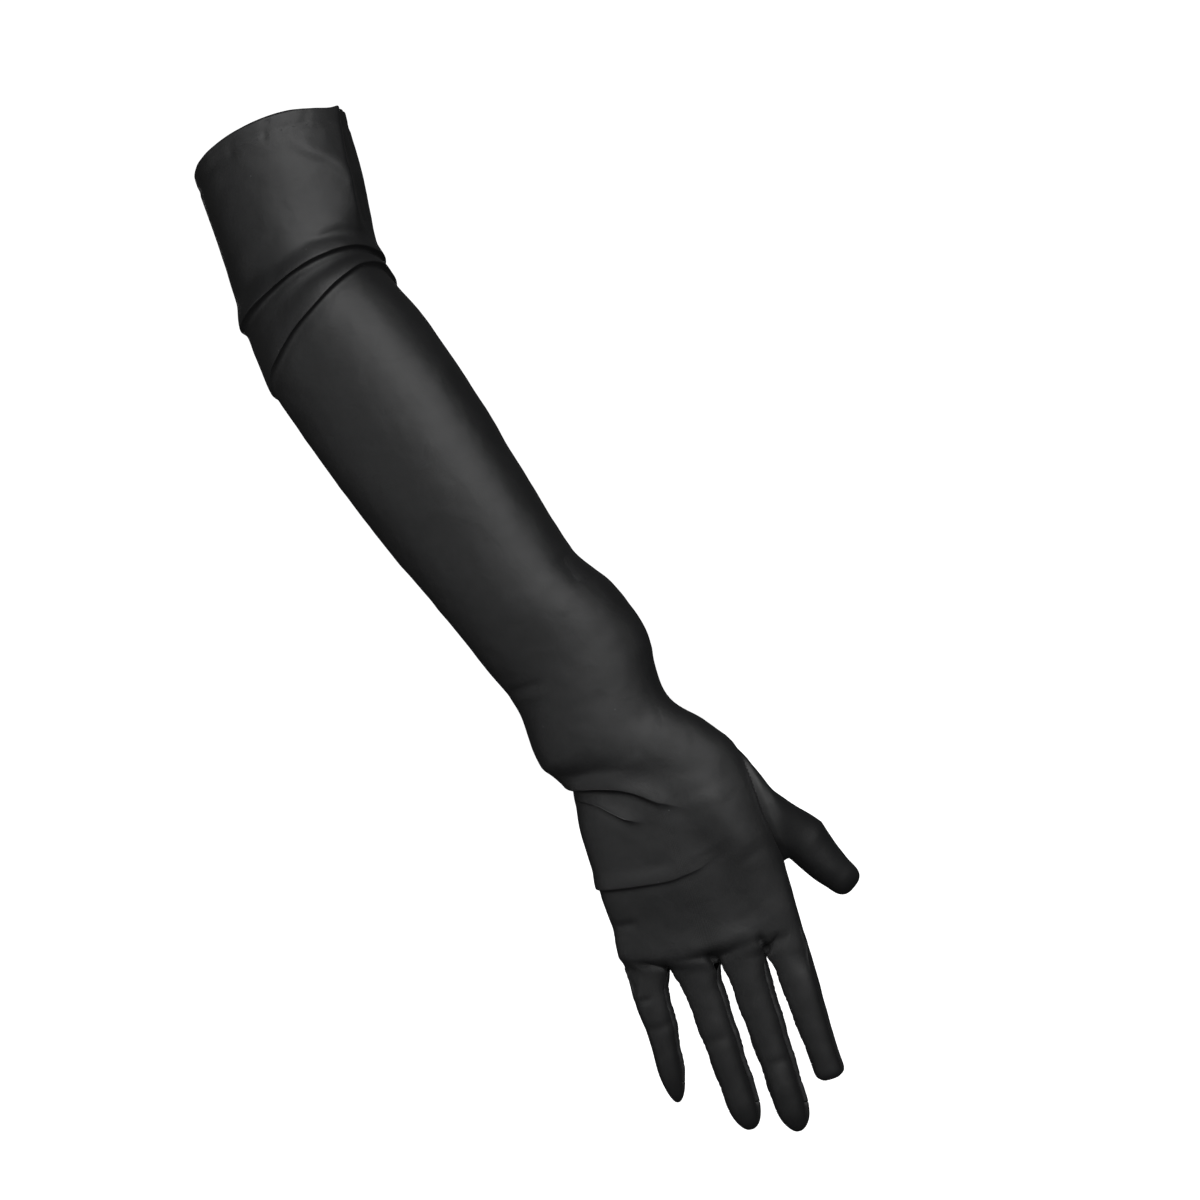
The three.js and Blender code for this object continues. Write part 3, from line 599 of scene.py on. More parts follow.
def thumb_seam_distance(down, angle):
    """How far a point of the trank is from the seam that the thumb is sewn in with, below 0 inside it."""
    turned = (np.degrees(angle) - thumb_seam_side + 180) % 360 - 180
    lengthwise = (down - thumb_seam_down) / (thumb_seam_length / 2)
    return (np.sqrt(lengthwise**2 + (turned / thumb_seam_spread) ** 2) - 1) * thumb_seam_radius


def rim_round(down):
    """The turned edge of the hem is half a round, as thick as its two layers."""
    radius = hem_wall / 2
    return radius - np.sqrt(np.maximum(0, radius**2 - np.maximum(0, radius - down) ** 2))


hem_stitch_down = 7.2


def turned_hem(down, angle):
    """The hem is drawn in along the stitches that hold it, and puckers between them."""
    drawn = swell(down, hem_stitch_down, 1.5)
    pucker = 0.5 + 0.5 * np.sin(angle * 19 + 1.3 * np.sin(angle * 5))
    below = swell(down - hem_stitch_down, 0.4, 3.6)
    return -0.42 * drawn * (0.45 + pucker) + 0.25 * below * (pucker - 0.5)


def cuff_corner(down, angle):
    """Above the elbow the loose cloth stands in a soft corner near the thumb's side, and falls in by it."""
    turned = (np.degrees(angle) + 180) % 360 - 180
    edge = np.interp(down, (0, 30, 60), (33, 43.5, 39))
    reach = np.where(turned < edge, 9, 15)
    corner = 3.3 * np.exp(-((np.abs(turned - edge) / reach) ** 1.2))
    for height, place, width in ((-2.0, edge - 20, 13), (1.9, 142, 20), (-1.1, 88, 26)):
        corner += height * swell(turned, place, width)
    return corner * (1 - ease((down - 48) / 16))


# The upper edge is higher on the back and droops towards the thumb's side: angle, and millimetres down
edge_droop = np.array(
    [(-180, 0), (-120, 0.5), (-60, 0.6), (-25, 0.4), (0, 1.2), (24, 3.2), (40, 4.2), (54, 2.7), (74, 0),
     (100, -1.9), (123, -2.3), (151, -1), (180, 0)]
)


def drooped(down):
    """How far down the cloth is moved by the droop of its upper edge."""
    turned = (np.degrees(ring_angle) + 180) % 360 - 180
    return column_at(edge_droop, 1, turned) * (1 - ease(down / 45))


def side_seam(down, angle):
    """The trank is closed along the little finger's side. The seam is turned in, with puckers beside it."""
    off = (angle - (math.pi + side_angle)) * arm_radius
    pucker = 0.5 + 0.5 * np.sin(down * 2 * math.pi / 4.1 + 1.2 * np.sin(down * 0.7))
    sewn = -0.5 * swell(off, 0, 0.6) + 0.3 * swell(np.abs(off), 2, 1.2) * pucker
    return sewn * ease((down - 0.5) / 3)


laid_downs, rises = folded(trank_downs)
laid_downs = laid_downs + drooped(trank_downs)
rises += cuff_corner(trank_downs, ring_angle)
rises -= rim_round(trank_downs)
rises += turned_hem(trank_downs, ring_angle)
rises += side_seam(trank_downs, ring_angle)
seam_far = thumb_seam_distance(trank_downs, ring_angle)
rises += -0.9 * swell(seam_far, 0, 1.3) + 0.35 * swell(seam_far, 3.0, 1.6)
outer_points = glove_skin(laid_downs, rises, np.zeros_like(trank_downs), 0)
outer_faces, strip_faces = glove_faces(len(trank_downs))
every_face = outer_faces + sum(strip_faces, [])
outward = point_normals(outer_points, every_face)
finger_start = len(trank_downs) * around + 3 * (across_side - 1)

# The inner skin has every row of the rim and of the fingers' roots, and every fourth row between them
rim_rows, root_rows = 9, 16
root_from = len(trank_downs) - root_rows
inner_rows = [*range(rim_rows), *range(rim_rows, root_from, 4), *range(root_from, len(trank_downs))]
inner_downs = trank_downs[inner_rows]
hem_step = ease((inner_downs - hem_width * 0.85) / 1.2)
inner_insets = hem_wall + (cloth_wall - hem_wall) * hem_step - rim_round(inner_downs)
inner_points = glove_skin(inner_downs + drooped(inner_downs), np.zeros_like(inner_downs), inner_insets, 0)
inner_faces, inner_strips = glove_faces(len(inner_rows))
inner_outward = point_normals(inner_points, inner_faces + sum(inner_strips, []))
inner_points += inner_outward * crease_depth(inner_points, inner_outward, crotch_pits)[:, None]

face_width = 26.0  # of a finger, from seam to seam


def over_fingers(pattern):
    """The moves that a pattern makes on the rings of each finger, for every point of the outer skin."""
    depth = np.zeros(len(outer_points))
    place = finger_start
    for finger in range(4):
        moves = pattern(finger, (finger_stations[1:] * (finger_rows[finger][0] * finger_length))[:, None])
        depth[place : place + moves.size] = moves.ravel()
        place += moves.size + 1
    return depth


def welts(finger, run):
    """Beside each seam the finger's cloth is drawn in, then stands up in a low welt with small puckers."""
    face_part = (finger_parts == 1) | (finger_parts == 3)
    far = np.minimum(finger_steps, 1 - finger_steps) * face_width
    pucker = 0.5 + 0.5 * np.sin(run * 2 * math.pi / 3.4 + 1.1 * np.sin(run * 0.9) + finger)
    welt = -0.95 * swell(far, 0, 0.7) + 0.32 * swell(far, 1.9, 1.1) * (0.4 + pucker)
    thumb_side = finger_steps < 0.5
    on_seam = np.where(thumb_side, finger < 3, finger > 0)
    on_seam = np.where(finger_parts == 3, thumb_side | (finger < 3), on_seam)
    fade = 1 - ease((finger_stations[1:] - fourchette_end + 0.06) / 0.1)
    return welt * face_part * on_seam * fade[:, None]


def scallops_of(finger, run):
    """The fourchettes pucker along their seams, which waves the outline of the fingers a little."""
    nearly = np.clip(1 - 7 * np.minimum(finger_steps, 1 - finger_steps), 0, 1)
    first, second = nearly * (finger_steps < 0.5), nearly * (finger_steps > 0.5)
    right = np.choose(finger_parts, [1, first, 0, second])
    left = np.choose(finger_parts, [0, second, 1, first])
    reach = (ease(run / 5) * (1 - ease((finger_stations[1:, None] - 0.74) / 0.12))) * 0.13

    def wave(k):
        short = np.sin(run * 2 * math.pi / 4.2 + 2 * np.sin(run * 0.6 + finger + k))
        return short + 1.6 * np.sin(run / 3.1 + 2 * finger + k)

    return reach * (wave(0) * right * (finger < 3) + wave(3) * left * (finger > 0))


scallops = over_fingers(scallops_of)
moved = crease_depth(outer_points, outward, back_creases + crotch_pits) + over_fingers(welts) + scallops
moved += 0.45 * soft_waves(outer_points, 22, 1) * np.minimum(1, np.abs(outer_points[:, 2] - 2) / 12)
moved += 0.16 * soft_waves(outer_points, 7, 2)
outer_points = outer_points + outward * moved[:, None]


def behind_trank(v):
    return v if v < around else v + (len(inner_rows) - len(trank_downs)) * around


def wall_faces(outer, inner, count, behind=int):
    """Both skins of a wall of cloth, and the strip of faces that closes every open edge between them.

    behind gives the point of the inner skin that lies behind a point on an edge of the outer skin."""
    loops = outer + [[v + count for v in reversed(face)] for face in inner]
    edges = {(a, face[(k + 1) % len(face)]): None for face in outer for k, a in enumerate(face)}
    open_edges = [(a, b) for a, b in edges if (b, a) not in edges]
    return loops + [[b, a, behind(a) + count, behind(b) + count] for a, b in open_edges]


metre = 0.001
widest_face = 12  # a face whose map is wider lies across the map's edge


def cloth_mesh(name, points, faces, lengthwise):
    """A mesh in metres, with a map in metres along and across the cloth for its weave."""
    used = np.unique(np.concatenate([np.array(face) for face in faces]))
    renumber = np.full(len(points), -1)
    renumber[used] = np.arange(len(used))
    mesh = bpy.data.meshes.new(name)
    loops = [[int(renumber[v]) for v in face] for face in faces]
    mesh.from_pydata((points[used] * metre).tolist(), [], loops)
    mesh.polygons.foreach_set("use_smooth", [True] * len(mesh.polygons))
    corners = np.zeros(len(mesh.loops), int)
    mesh.loops.foreach_get("vertex_index", corners)
    place = lengthwise[used][corners].astype(float)
    where = points[used][corners]
    for polygon in mesh.polygons:
        a, b, c, d = (polygon.loop_start + k for k in (0, 1, 2, min(3, polygon.loop_total - 1)))
        if np.ptp(place[[a, b, c, d], 0]) > widest_face:
            place[b, 0] = place[a, 0] + np.linalg.norm(where[b] - where[a])
            place[c, 0] = place[a, 0] + np.linalg.norm(where[c] - where[d])
            place[d, 0] = place[a, 0]
    layer = mesh.uv_layers.new(name="cloth")
    layer.data.foreach_set("uv", (place * metre).ravel())
    mesh.update()
    return add_object(name, mesh)


def cloth_map(points, downs):
    """How far round the glove and how far down it each point lies, on the uncut cloth."""
    round_way = points[:, 0].copy()
    down_way = -points[:, 2]
    count = len(downs) * around
    round_way[:count] = np.tile(ring_angle * arm_radius, len(downs))
    down_way[:count] = downs.ravel()
    place = count + 3 * (across_side - 1)
    for finger in range(4):
        back_from = (side_angle + back_span * (3 - finger) / 4) * arm_radius
        palm_from = (math.pi + side_angle + back_span * finger / 4) * arm_radius
        edge, face = fourchette_width, back_span / 4 * arm_radius
        starts = np.choose(finger_parts, [back_from - edge, back_from, palm_from - edge, palm_from])
        widths = np.choose(finger_parts, [edge, face, edge, face])
        rings = len(finger_stations) - 1
        round_way[place : place + rings * len(finger_parts)] = np.tile(starts + widths * finger_steps, rings)
        place += rings * len(finger_parts) + 1
    return np.stack([round_way, down_way], -1)


trank_faces = wall_faces(outer_faces, inner_faces, len(outer_points), behind_trank)
trank_points = np.concatenate([outer_points, inner_points])
trank_map = np.concatenate([cloth_map(outer_points, trank_downs), cloth_map(inner_points, inner_downs)])
trank = cloth_mesh("trank_cloth", trank_points, trank_faces, trank_map)


def seam_place(turn, size, out):
    """A point on the oval of the thumb's seam, or inside it, on the trank's surface or off it."""
    down = thumb_seam_down - thumb_seam_length / 2 * size * np.cos(turn)
    angle = np.radians(thumb_seam_side + thumb_seam_spread * size * np.sin(turn))
    section = section_at(down)
    return placed(section, *oval_point(section, angle, out))


hole_reach = 4.0
hole_round = 64
hole_turns = np.arange(hole_round) * 2 * math.pi / hole_round
hole_sizes = (0.3, 0.6, 0.85, 1.0)


def capped_rings(rings, ends):
    """Points and faces of a closed shape: rings that follow one another, drawn to a point at each end."""
    count, first, last = len(rings[0]), len(rings) * len(rings[0]), (len(rings) - 1) * len(rings[0])
    faces = ring_quads(len(rings), count)
    for k in range(count):
        n = (k + 1) % count
        faces += [[first, n, k], [first + 1, last + k, last + n]]
    return np.concatenate([*rings, ends]), faces


hole_rings = [seam_place(hole_turns, size, hole_reach) for size in hole_sizes]
hole_rings += [seam_place(hole_turns, size, -hole_reach) for size in hole_sizes[::-1]]
hole_ends = [seam_place(np.array([0.0]), 0, out)[0] for out in (hole_reach, -hole_reach)]
hole_points, hole_faces = capped_rings(hole_rings, hole_ends)
hole_mesh = bpy.data.meshes.new("thumb_hole")
hole_mesh.from_pydata((hole_points * metre).tolist(), [], hole_faces)
shape = bmesh.new()
shape.from_mesh(hole_mesh)
bmesh.ops.recalc_face_normals(shape, faces=shape.faces)
shape.to_mesh(hole_mesh)
shape.free()
hole = add_object("thumb_hole", hole_mesh)
cut = trank.modifiers.new("cut", "BOOLEAN")
cut.operation = "DIFFERENCE"
cut.object = hole
cut.solver = "MANIFOLD"


def made_plain(made):
    """Gives an object the mesh that its modifiers make, and takes them off."""
    bpy.context.view_layer.update()
    plain = bpy.data.meshes.new_from_object(made.evaluated_get(bpy.context.evaluated_depsgraph_get()))
    made.modifiers.clear()
    made.data = plain
    plain.name = made.name


made_plain(trank)
bpy.data.objects.remove(hole)


def feed(node, inputs):
    """Gives a node's inputs their values, or links them to the sockets or nodes that feed them."""
    for socket, value in inputs.items():
        if isinstance(value, bpy.types.Node):
            value = value.outputs[0]
        if isinstance(value, bpy.types.NodeSocket):
            node.id_data.links.new(value, node.inputs[socket])
        else:
            node.inputs[socket].default_value = value


def add_node(tree, kind, inputs, **settings):
    node = tree.nodes.new(kind)
    for name, value in settings.items():
        setattr(node, name, value)
    feed(node, inputs)
    return node


def satin_weave():
    """Satin weave as a node group: long raised floats, shifted from row to row, with a little slub."""
    group = bpy.data.node_groups.new("satin_weave", "ShaderNodeTree")
    for name, value in (
        ("Float length", 0.0011), ("Thread width", 0.00028), ("Slub", 0.35), ("Weave depth", 0.00002),
        ("Crumple", 0.0001),
    ):
        group.interface.new_socket(name, in_out="INPUT", socket_type="NodeSocketFloat").default_value = value
    for name in ("Height", "Tone", "Fleck"):
        group.interface.new_socket(name, in_out="OUTPUT", socket_type="NodeSocketFloat")
    into = group.nodes.new("NodeGroupInput").outputs
    place = group.nodes.new("ShaderNodeTexCoord").outputs["Object"]
    cloth_place = add_node(group, "ShaderNodeUVMap", {}, uv_map="cloth")
    split = add_node(group, "ShaderNodeSeparateXYZ", {0: cloth_place})

    def maths(kind, a, b=0.5):
        return add_node(group, "ShaderNodeMath", {0: a, 1: b}, operation=kind)

    def mottle(scale, detail, rough=0.5, distortion=0):
        inputs = {"Vector": place, "Scale": scale, "Detail": detail, "Roughness": rough}
        inputs["Distortion"] = distortion
        return add_node(group, "ShaderNodeTexNoise", inputs).outputs["Fac"]

    row = maths("DIVIDE", split.outputs[0], into["Thread width"])
    row_number = maths("FLOOR", row)
    thread = maths("SINE", maths("MULTIPLY", maths("SUBTRACT", row, row_number), math.pi))
    along = maths("DIVIDE", split.outputs[1], into["Float length"])
    along = maths("FRACT", maths("ADD", along, maths("MULTIPLY", row_number, 0.375)))
    dip = maths("POWER", maths("SINE", maths("MULTIPLY", along, math.pi)), 0.35)
    woven = maths("ADD", maths("MULTIPLY", thread, dip), maths("MULTIPLY", mottle(420, 3), into["Slub"]))
    crumpled = maths("MULTIPLY", mottle(95, 3, 0.45, 0.6), into["Crumple"])
    height = maths("ADD", maths("MULTIPLY", woven, into["Weave depth"]), crumpled)
    lint = add_node(group, "ShaderNodeTexVoronoi", {"Vector": place, "Scale": 160}).outputs
    chosen = add_node(group, "ShaderNodeSeparateColor", {0: lint["Color"]})
    near, few = (
        add_node(group, "ShaderNodeMapRange", {"Value": value, "From Min": low, "From Max": high})
        for value, low, high in ((lint["Distance"], 0.05, 0.02), (chosen, 0.86, 0.9))
    )
    fleck = maths("MULTIPLY", near, few)
    add_node(group, "NodeGroupOutput", {"Height": height, "Tone": mottle(38, 4, 0.6), "Fleck": fleck})
    return group


weave_group = satin_weave()


def satin(name, dark, light, rough, crumple):
    """Black satin: two near blacks mixed by the weave's tone, flecks of lint, and the weave as bump."""
    material = bpy.data.materials.new(name)
    material.use_nodes = True
    tree = material.node_tree
    weave = add_node(tree, "ShaderNodeGroup", {"Crumple": crumple}, node_tree=weave_group).outputs
    colours = {"Factor": weave["Tone"], "A": (*dark, 1), "B": (*light, 1)}
    tones = add_node(tree, "ShaderNodeMix", colours, data_type="RGBA").outputs["Result"]
    colours = {"Factor": weave["Fleck"], "A": tones, "B": (0.09, 0.09, 0.095, 1)}
    specks = add_node(tree, "ShaderNodeMix", colours, data_type="RGBA").outputs["Result"]
    span = {"Value": weave["Tone"], "To Min": rough - 0.05, "To Max": rough + 0.05}
    looks = {
        "Base Color": specks,
        "Roughness": add_node(tree, "ShaderNodeMapRange", span),
        "Normal": add_node(tree, "ShaderNodeBump", {"Distance": 1, "Height": weave["Height"]}),
        "Specular IOR Level": 0.55, "Sheen Weight": 0.01, "Sheen Roughness": 0.4,
    }
    feed(tree.nodes["Principled BSDF"], looks)
    return material


satin_face = satin("black_satin", (0.007, 0.0072, 0.0076), (0.013, 0.0133, 0.0139), 0.54, 0.00025)
trank.data.materials.clear()
trank.data.materials.append(satin_face)
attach(trank, "root")
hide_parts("trank")

# Fourchettes. Three narrow strips of the same satin, one between each two fingers, bent double at the crotch
# and sewn to the back and the palm of both fingers with seams turned in, so that the fingers have thickness.
# Their satin has a lighter colour and less roughness than the trank's, which is a painted highlight on the
# sides of the fingers.
flush = np.zeros_like(trank_downs)
strip_outer = glove_skin(laid_downs, flush, flush, seam_gap) + outward * scallops[:, None]
strip_inner = glove_skin(trank_downs, flush, flush + cloth_wall, seam_gap)
strip_points = np.concatenate([strip_outer, strip_inner])
strip_map = strip_points[:, 1:] * (1, -1)
# Painted highlight: the strips' satin is a lighter, smoother copy of the trank's satin.
painted_lighter_strips = satin("strip_painted_lighter_satin", (0.013, 0.0132, 0.0138), (0.02, 0.0204, 0.0212), 0.48, 0.00015)
for between, faces in zip(("little_ring", "ring_middle", "middle_index"), strip_faces):
    strip = cloth_mesh(
        f"fourchette_cloth_{between}", strip_points, wall_faces(faces, faces, len(strip_outer)), strip_map
    )
    strip.data.materials.append(painted_lighter_strips)
    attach(strip, "root")
    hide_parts(f"fourchette_{between}")

# Thumb. A separate tube of the same satin, set into an oval hole at the edge of the hand with a seam turned
# in all round, and closed at its tip. Its root is drawn in a little along the seam and puckers there.
thumb_length = 62.0
thumb_width = 17.6
thumb_depth = 17.0
thumb_across, thumb_palm = 0.86, 0.33
thumb_outward, thumb_palmward = math.radians(22), math.radians(11)
around_thumb = 56
thumb_tube = np.array(
    [(0.5, 1.22, 1.06, 0.12), (0.62, 1.1, 1.0, 0.055), (0.74, 0.99, 0.94, 0.01), (0.85, 0.88, 0.82, 0.0),
     (1.0, 0.86, 0.80, 0.0)]
)
thumb_down = np.array([math.sin(thumb_outward), math.sin(thumb_palmward), -math.cos(thumb_outward)])
thumb_down /= np.linalg.norm(thumb_down)
thumb_turns = np.arange(around_thumb) * 2 * math.pi / around_thumb


def thumb_skin(inset, puckers):
    base = section_at(np.array([thumb_seam_down]))
    start = base["centre"][0] + base["across"][0] * base["half"][0] * thumb_across
    start = start - base["back"][0] * base["palm_depth"][0] * thumb_palm
    outward = np.array([-thumb_down[2], 0, thumb_down[0]])
    outward /= np.linalg.norm(outward)
    backward = np.cross(thumb_down, outward)
    cos, sin = np.cos(thumb_turns), np.sin(thumb_turns)

    def tube_ring(share):
        width, depth, side = (float(column_at(thumb_tube, c, np.array([share]))[0]) for c in (1, 2, 3))
        tip = max(0.0, (share - 0.85) / 0.15)
        width *= (1 - min(tip, 1) ** 2.8) ** (1 / 2.8)
        depth *= (1 - min(tip, 1) ** 1.7) ** (1 / 1.7)
        centre = start + thumb_down * share * (thumb_length - inset) + outward * side * thumb_width
        wide, deep = max(0.02, width * thumb_width / 2 - inset), max(0.02, depth * thumb_depth / 2 - inset)
        return centre + np.outer(cos * wide, outward) + np.outer(sin * deep, backward)

    size = 1 - seam_gap / (0.2 * thumb_seam_length)
    first = tube_ring(0.5)
    begin = seam_place(thumb_turns, size, -inset)
    out = seam_place(thumb_turns, size, 1 - inset) - begin
    outer = np.maximum(0, cos) * 0.48
    leave = thumb_down + out * (0.25 + 0.45 * np.abs(sin) - outer * 0.5)[:, None] - np.outer(outer, outward)
    leave /= np.linalg.norm(leave, axis=1, keepdims=True)
    arrive = thumb_down + np.outer(outer * 0.15, outward)
    arrive /= np.linalg.norm(arrive, axis=1, keepdims=True)
    reach = np.linalg.norm(first - begin, axis=1, keepdims=True) * 0.4
    rings = []
    for t in np.concatenate([[0, 0.012, 0.03, 0.055, 0.085], np.linspace(0.12, 0.96, 20)]):
        p = begin * (1 - t) ** 3 + (begin + leave * reach) * 3 * t * (1 - t) ** 2
        p = p + (first - arrive * reach) * 3 * t**2 * (1 - t) + first * t**3
        far = t * np.linalg.norm(first - begin, axis=1)
        pucker = 0.5 + 0.5 * np.sin(thumb_turns * 17 + np.sin(thumb_turns * 4))
        welt = 0.35 * swell(far, 2.6, 1.6) * (0.4 + pucker)
        drawn = -0.9 * swell(far, 0, 1.1) + welt
        tucked = -3.4 * swell(t, 0.36, 0.2) * np.maximum(0, cos) ** 1.5
        rings.append(p + out * (drawn * puckers)[:, None] + np.outer(tucked, outward))
    tip_shares = 0.86 + 0.1398 * np.sin(np.linspace(0, math.pi / 2, 14)[1:])
    rings += [tube_ring(share) for share in (*np.linspace(0.5, 0.86, 26), *tip_shares)]
    tip = start + thumb_down * (thumb_length - inset)
    return np.concatenate(rings + [tip[None]])


thumb_outer, thumb_inner = thumb_skin(0, 1.0), thumb_skin(cloth_wall, 0.0)
thumb_rings = (len(thumb_outer) - 1) // around_thumb
thumb_faces = ring_quads(thumb_rings, around_thumb)
last = (thumb_rings - 1) * around_thumb
thumb_faces += [[last + k, last + (k + 1) % around_thumb, last + around_thumb] for k in range(around_thumb)]
thumb_moved = 0.4 * soft_waves(thumb_outer, 20, 3) + 0.14 * soft_waves(thumb_outer, 7, 4)
thumb_calm = np.minimum(1, np.arange(len(thumb_outer)) / around_thumb / 8)
thumb_outer = thumb_outer + point_normals(thumb_outer, thumb_faces) * (thumb_moved * thumb_calm)[:, None]
loops = wall_faces(thumb_faces, thumb_faces, len(thumb_outer))
thumb_points = np.concatenate([thumb_outer, thumb_inner])
thumb_runs = np.append(np.repeat(np.arange(thumb_rings), around_thumb), thumb_rings)
thumb_runs = thumb_runs * thumb_length / thumb_rings
thumb_round = np.append(np.tile(thumb_turns, thumb_rings), 0) * thumb_width / 2
thumb_map = np.tile(np.stack([thumb_round, thumb_runs], -1), (2, 1))
thumb = cloth_mesh("thumb_cloth", thumb_points, loops, thumb_map)
thumb.data.materials.append(satin_face)
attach(thumb, "root")
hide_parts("thumb")

# Seam stitches. Black polyester thread, in close slanting stitches in the ditch of the seams beside the
# fourchettes, down the little finger's side of the trank and round the thumb, half sunk in the cloth.
stitch_pitch = 0.0018
stitch_length = 0.0013
thread_thickness = 0.0003


def thread_stitches():
    """Geometry Nodes that set stitches one after another along lines, flat on the cloth and slanting."""
    tree = bpy.data.node_groups.new("thread_stitches", "GeometryNodeTree")
    sockets = tree.interface
    sockets.new_socket("Geometry", in_out="INPUT", socket_type="NodeSocketGeometry")
    for name, value in (
        ("Pitch", stitch_pitch), ("Stitch length", stitch_length), ("Thread", thread_thickness),
        ("Slant", 0.45), ("Unevenness", 0.15),
    ):
        sockets.new_socket(name, in_out="INPUT", socket_type="NodeSocketFloat").default_value = value
    sockets.new_socket("Seed", in_out="INPUT", socket_type="NodeSocketInt").default_value = 4
    sockets.new_socket("Thread finish", in_out="INPUT", socket_type="NodeSocketMaterial")
    sockets.new_socket("Geometry", in_out="OUTPUT", socket_type="NodeSocketGeometry")
    into = tree.nodes.new("NodeGroupInput").outputs

    def maths(kind, a, b):
        return add_node(tree, "ShaderNodeMath", {0: a, 1: b}, operation=kind)

    lines = add_node(tree, "GeometryNodeMeshToCurve", {"Mesh": into["Geometry"]})
    spaced = {"Curve": lines, "Length": into["Pitch"]}
    spaced = add_node(tree, "GeometryNodeResampleCurve", spaced, mode="LENGTH")
    half, thick = (maths("MULTIPLY", into[name], 0.5) for name in ("Stitch length", "Thread"))
    size = add_node(tree, "ShaderNodeCombineXYZ", {"X": half, "Y": thick, "Z": thick})
    bead = add_node(tree, "GeometryNodeMeshUVSphere", {"Segments": 6, "Rings": 5, "Radius": 1})
    longwise = add_node(tree, "GeometryNodeTransform", {"Geometry": bead, "Rotation": (0, math.pi / 2, 0)})
    stitch = add_node(tree, "GeometryNodeTransform", {"Geometry": longwise, "Scale": size})
    away = add_node(tree, "GeometryNodeInputNamedAttribute", {"Name": "away"}, data_type="FLOAT_VECTOR")
    turn = "FunctionNodeAlignRotationToVector"
    upright = add_node(tree, turn, {"Vector": away.outputs["Attribute"]}, axis="Z")
    onward = {"Rotation": upright, "Vector": tree.nodes.new("GeometryNodeInputTangent")}
    onward = add_node(tree, turn, onward, axis="X", pivot_axis="Z")
    low, high = (maths(kind, into["Slant"], into["Unevenness"]) for kind in ("SUBTRACT", "ADD"))
    wander = {2: low, 3: high, "Seed": into["Seed"]}
    wander = add_node(tree, "FunctionNodeRandomValue", wander, data_type="FLOAT")
    slant = {"Axis": (0, 0, 1), "Angle": wander.outputs[1]}
    slant = add_node(tree, "FunctionNodeAxisAngleToRotation", slant)
    turned = {"Rotation": onward, "Rotate By": slant}
    turned = add_node(tree, "FunctionNodeRotateRotation", turned, rotation_space="LOCAL")
    stitches = {"Points": spaced, "Instance": stitch, "Rotation": turned}
    stitches = add_node(tree, "GeometryNodeInstanceOnPoints", stitches)
    real = add_node(tree, "GeometryNodeRealizeInstances", {"Geometry": stitches})
    finish = add_node(tree, "GeometryNodeSetMaterial", {"Geometry": real, "Material": into["Thread finish"]})
    add_node(tree, "NodeGroupOutput", {"Geometry": finish})
    return tree


def thread_finish():
    """Black thread: a little lighter along its twist than in between, and dull."""
    material = bpy.data.materials.new("black_thread")
    material.use_nodes = True
    tree = material.node_tree
    place = tree.nodes.new("ShaderNodeTexCoord").outputs["Object"]
    twist = {"Vector": place, "Scale": 3500, "Detail": 2}
    twist = add_node(tree, "ShaderNodeTexNoise", twist).outputs["Fac"]
    tones = {"Factor": twist, "A": (0.008, 0.008, 0.0085, 1), "B": (0.03, 0.03, 0.031, 1)}
    tones = add_node(tree, "ShaderNodeMix", tones, data_type="RGBA").outputs["Result"]
    bump = add_node(tree, "ShaderNodeBump", {"Distance": 0.00005, "Height": twist})
    feed(tree.nodes["Principled BSDF"], {"Base Color": tones, "Normal": bump, "Roughness": 0.5})
    return material


stitch_tree = thread_stitches()
black_thread = thread_finish()


def sewn(name, lines, values):
    """Stitches along lines of (points, directions away from the cloth, closed), as one plain mesh."""
    mesh = bpy.data.meshes.new(name)
    places, aways, edges = [], [], []
    for points, directions, closed in lines:
        first = len(places)
        places += (np.asarray(points) * metre).tolist()
        aways += np.asarray(directions).tolist()
        edges += [(first + k, first + k + 1) for k in range(len(points) - 1)]
        if closed:
            edges.append((len(places) - 1, first))
    mesh.from_pydata(places, edges, [])
    mesh.attributes.new("away", "FLOAT_VECTOR", "POINT").data.foreach_set("vector", np.ravel(aways))
    made = add_object(name, mesh)
    modifier = made.modifiers.new("stitches", "NODES")
    modifier.node_group = stitch_tree
    for item in stitch_tree.interface.items_tree:
        if item.in_out == "INPUT" and item.name in values:
            modifier[item.identifier] = values[item.name]
    made_plain(made)
    made.data.polygons.foreach_set("use_smooth", [True] * len(made.data.polygons))
    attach(made, "root")


skin_normals = point_normals(outer_points, every_face)
ring_size = len(finger_parts)
seam_lines = []
for finger in range(4):
    first = finger_start + finger * ((len(finger_stations) - 1) * ring_size + 1)
    corners = {"right_palm": 0, "right_back": across_side, "left_back": across_side + across_back,
               "left_palm": 2 * across_side + across_back}
    for side, corner in corners.items():
        if (side.startswith("right") and finger == 3) or (side == "left_back" and finger == 0):
            continue
        line = first + corner + ring_size * np.arange(1, sewn_stations - 1)
        seam_lines.append((outer_points[line] + skin_normals[line] * 0.12, skin_normals[line], False))
side_column = 2 * across_side + 4 * across_back
line = side_column + around * np.arange(12, len(trank_downs) - 1)
seam_lines.append((outer_points[line] + skin_normals[line] * 0.06, skin_normals[line], False))
thumb_ring = seam_place(thumb_turns, 0.985, -0.45)
thumb_away = seam_place(thumb_turns, 0.985, 1.0) - seam_place(thumb_turns, 0.985, 0.0)
seam_lines.append((thumb_ring, thumb_away, True))
sewn("seam_stitches", seam_lines, {"Thread finish": black_thread})

# Hem stitches. The turned-in hem is held from inside by blind stitches of black thread about 6 mm apart, and
# only a short prick of thread shows at each, in the bottom of its pucker.
hem_row = int(np.argmin(np.abs(trank_downs[:, 0] - hem_stitch_down)))
line = hem_row * around + np.arange(around)
hem_line = [(outer_points[line] + skin_normals[line] * 0.05, skin_normals[line], True)]
hem_values = {"Pitch": 0.0059, "Stitch length": 0.001, "Thread": 0.00035, "Slant": 0.0}
hem_values["Thread finish"] = black_thread
sewn("hem_stitches", hem_line, hem_values)

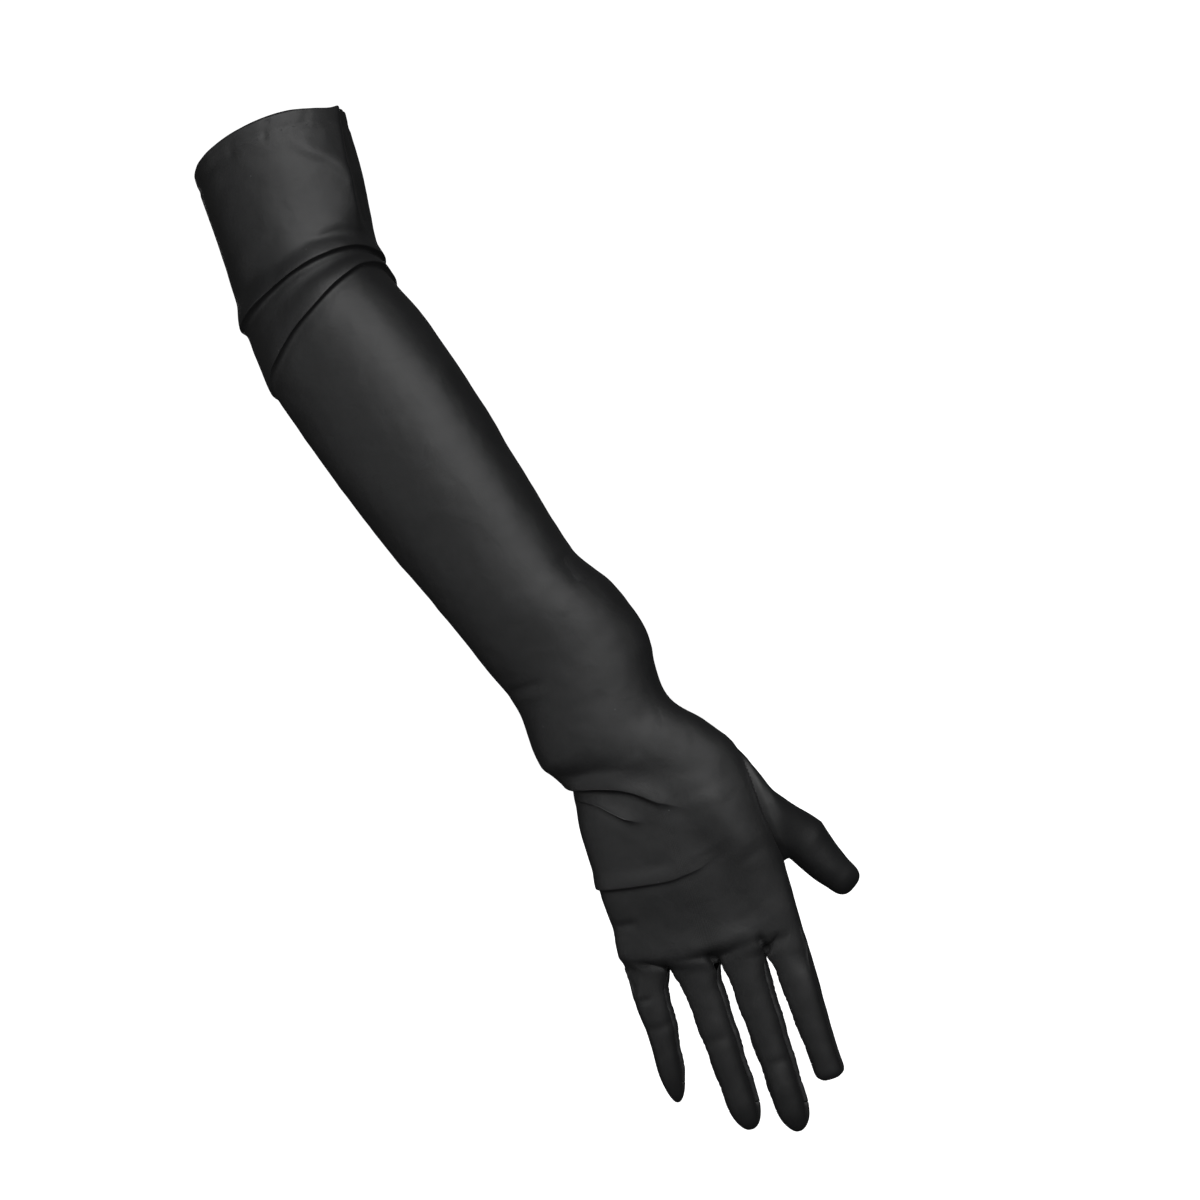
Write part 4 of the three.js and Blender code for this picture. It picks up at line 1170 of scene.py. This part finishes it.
# Studio. A pale floor below the fingertips that runs on into a pale sweep, one large soft light in front and
# above, weaker ones near the hand, at the left and behind, and dim light from all round.
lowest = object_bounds()[0].z
floor_gap = 0.004
floor_mesh = bpy.data.meshes.new("floor")
profile = [(1.5, 0), (3.5, 0), (4.8, 0.15), (5.6, 0.8), (6.0, 2.0), (5.6, 4.2), (4.0, 5.6), (1.5, 6.2)]
floor_turns = np.arange(48) * 2 * math.pi / 48
floor_way = np.stack([np.cos(floor_turns), np.sin(floor_turns), floor_turns * 0], -1)
floor_rings = [floor_way * radius + (0, 0, lowest - floor_gap + height) for radius, height in profile]
floor_ends = [(0, 0, lowest - floor_gap + height) for height in (0, 6.3)]
floor_points, floor_faces = capped_rings(floor_rings, floor_ends)
floor_mesh.from_pydata(floor_points.tolist(), [], [face[::-1] for face in floor_faces])
floor = add_object("floor", floor_mesh)
pale = bpy.data.materials.new("pale_floor")
pale.use_nodes = True
glow = {"Base Color": (0.9, 0.9, 0.9, 1), "Emission Color": (1, 1, 1, 1), "Emission Strength": 1.0}
feed(pale.node_tree.nodes["Principled BSDF"], glow)
floor_mesh.materials.append(pale)
floor.visible_glossy = False
floor.visible_diffuse = False
floor.visible_shadow = False


def soft_light(name, place, target, size, power):
    data = bpy.data.lights.new(name, "AREA")
    data.shape = "RECTANGLE"
    data.size, data.size_y = size
    data.energy = power
    lamp = add_object(name, data)
    lamp.location = place
    lamp.rotation_euler = (Vector(target) - Vector(place)).to_track_quat("-Z", "Y").to_euler()


glove_middle = Vector((0.015, -0.03, -0.24))
key_way = (Vector((0, -1, 0)) * 1.6 + camera_up * 0.9 + camera_across * 0.1) * 1.4
soft_light("key_light", glove_middle + key_way, glove_middle, (2.1, 2.1), 57)
soft_light("hand_light", Vector((0.25, -1.1, -0.42)), Vector((0.05, -0.03, -0.38)), (0.9, 0.9), 1.7)
soft_light("left_light", glove_middle + Vector((-1.8, -0.9, 0.2)), glove_middle, (1.2, 1.2), 5)
soft_light("back_light", glove_middle + Vector((-0.2, 2.8, 0.8)), glove_middle, (1.2, 1.2), 9)
world = bpy.data.worlds.new("studio")
bpy.context.scene.world = world
world.use_nodes = True
feed(world.node_tree.nodes["Background"], {"Color": (1, 1, 1, 1), "Strength": 0.022})
bpy.context.scene.view_settings.view_transform = "Standard"
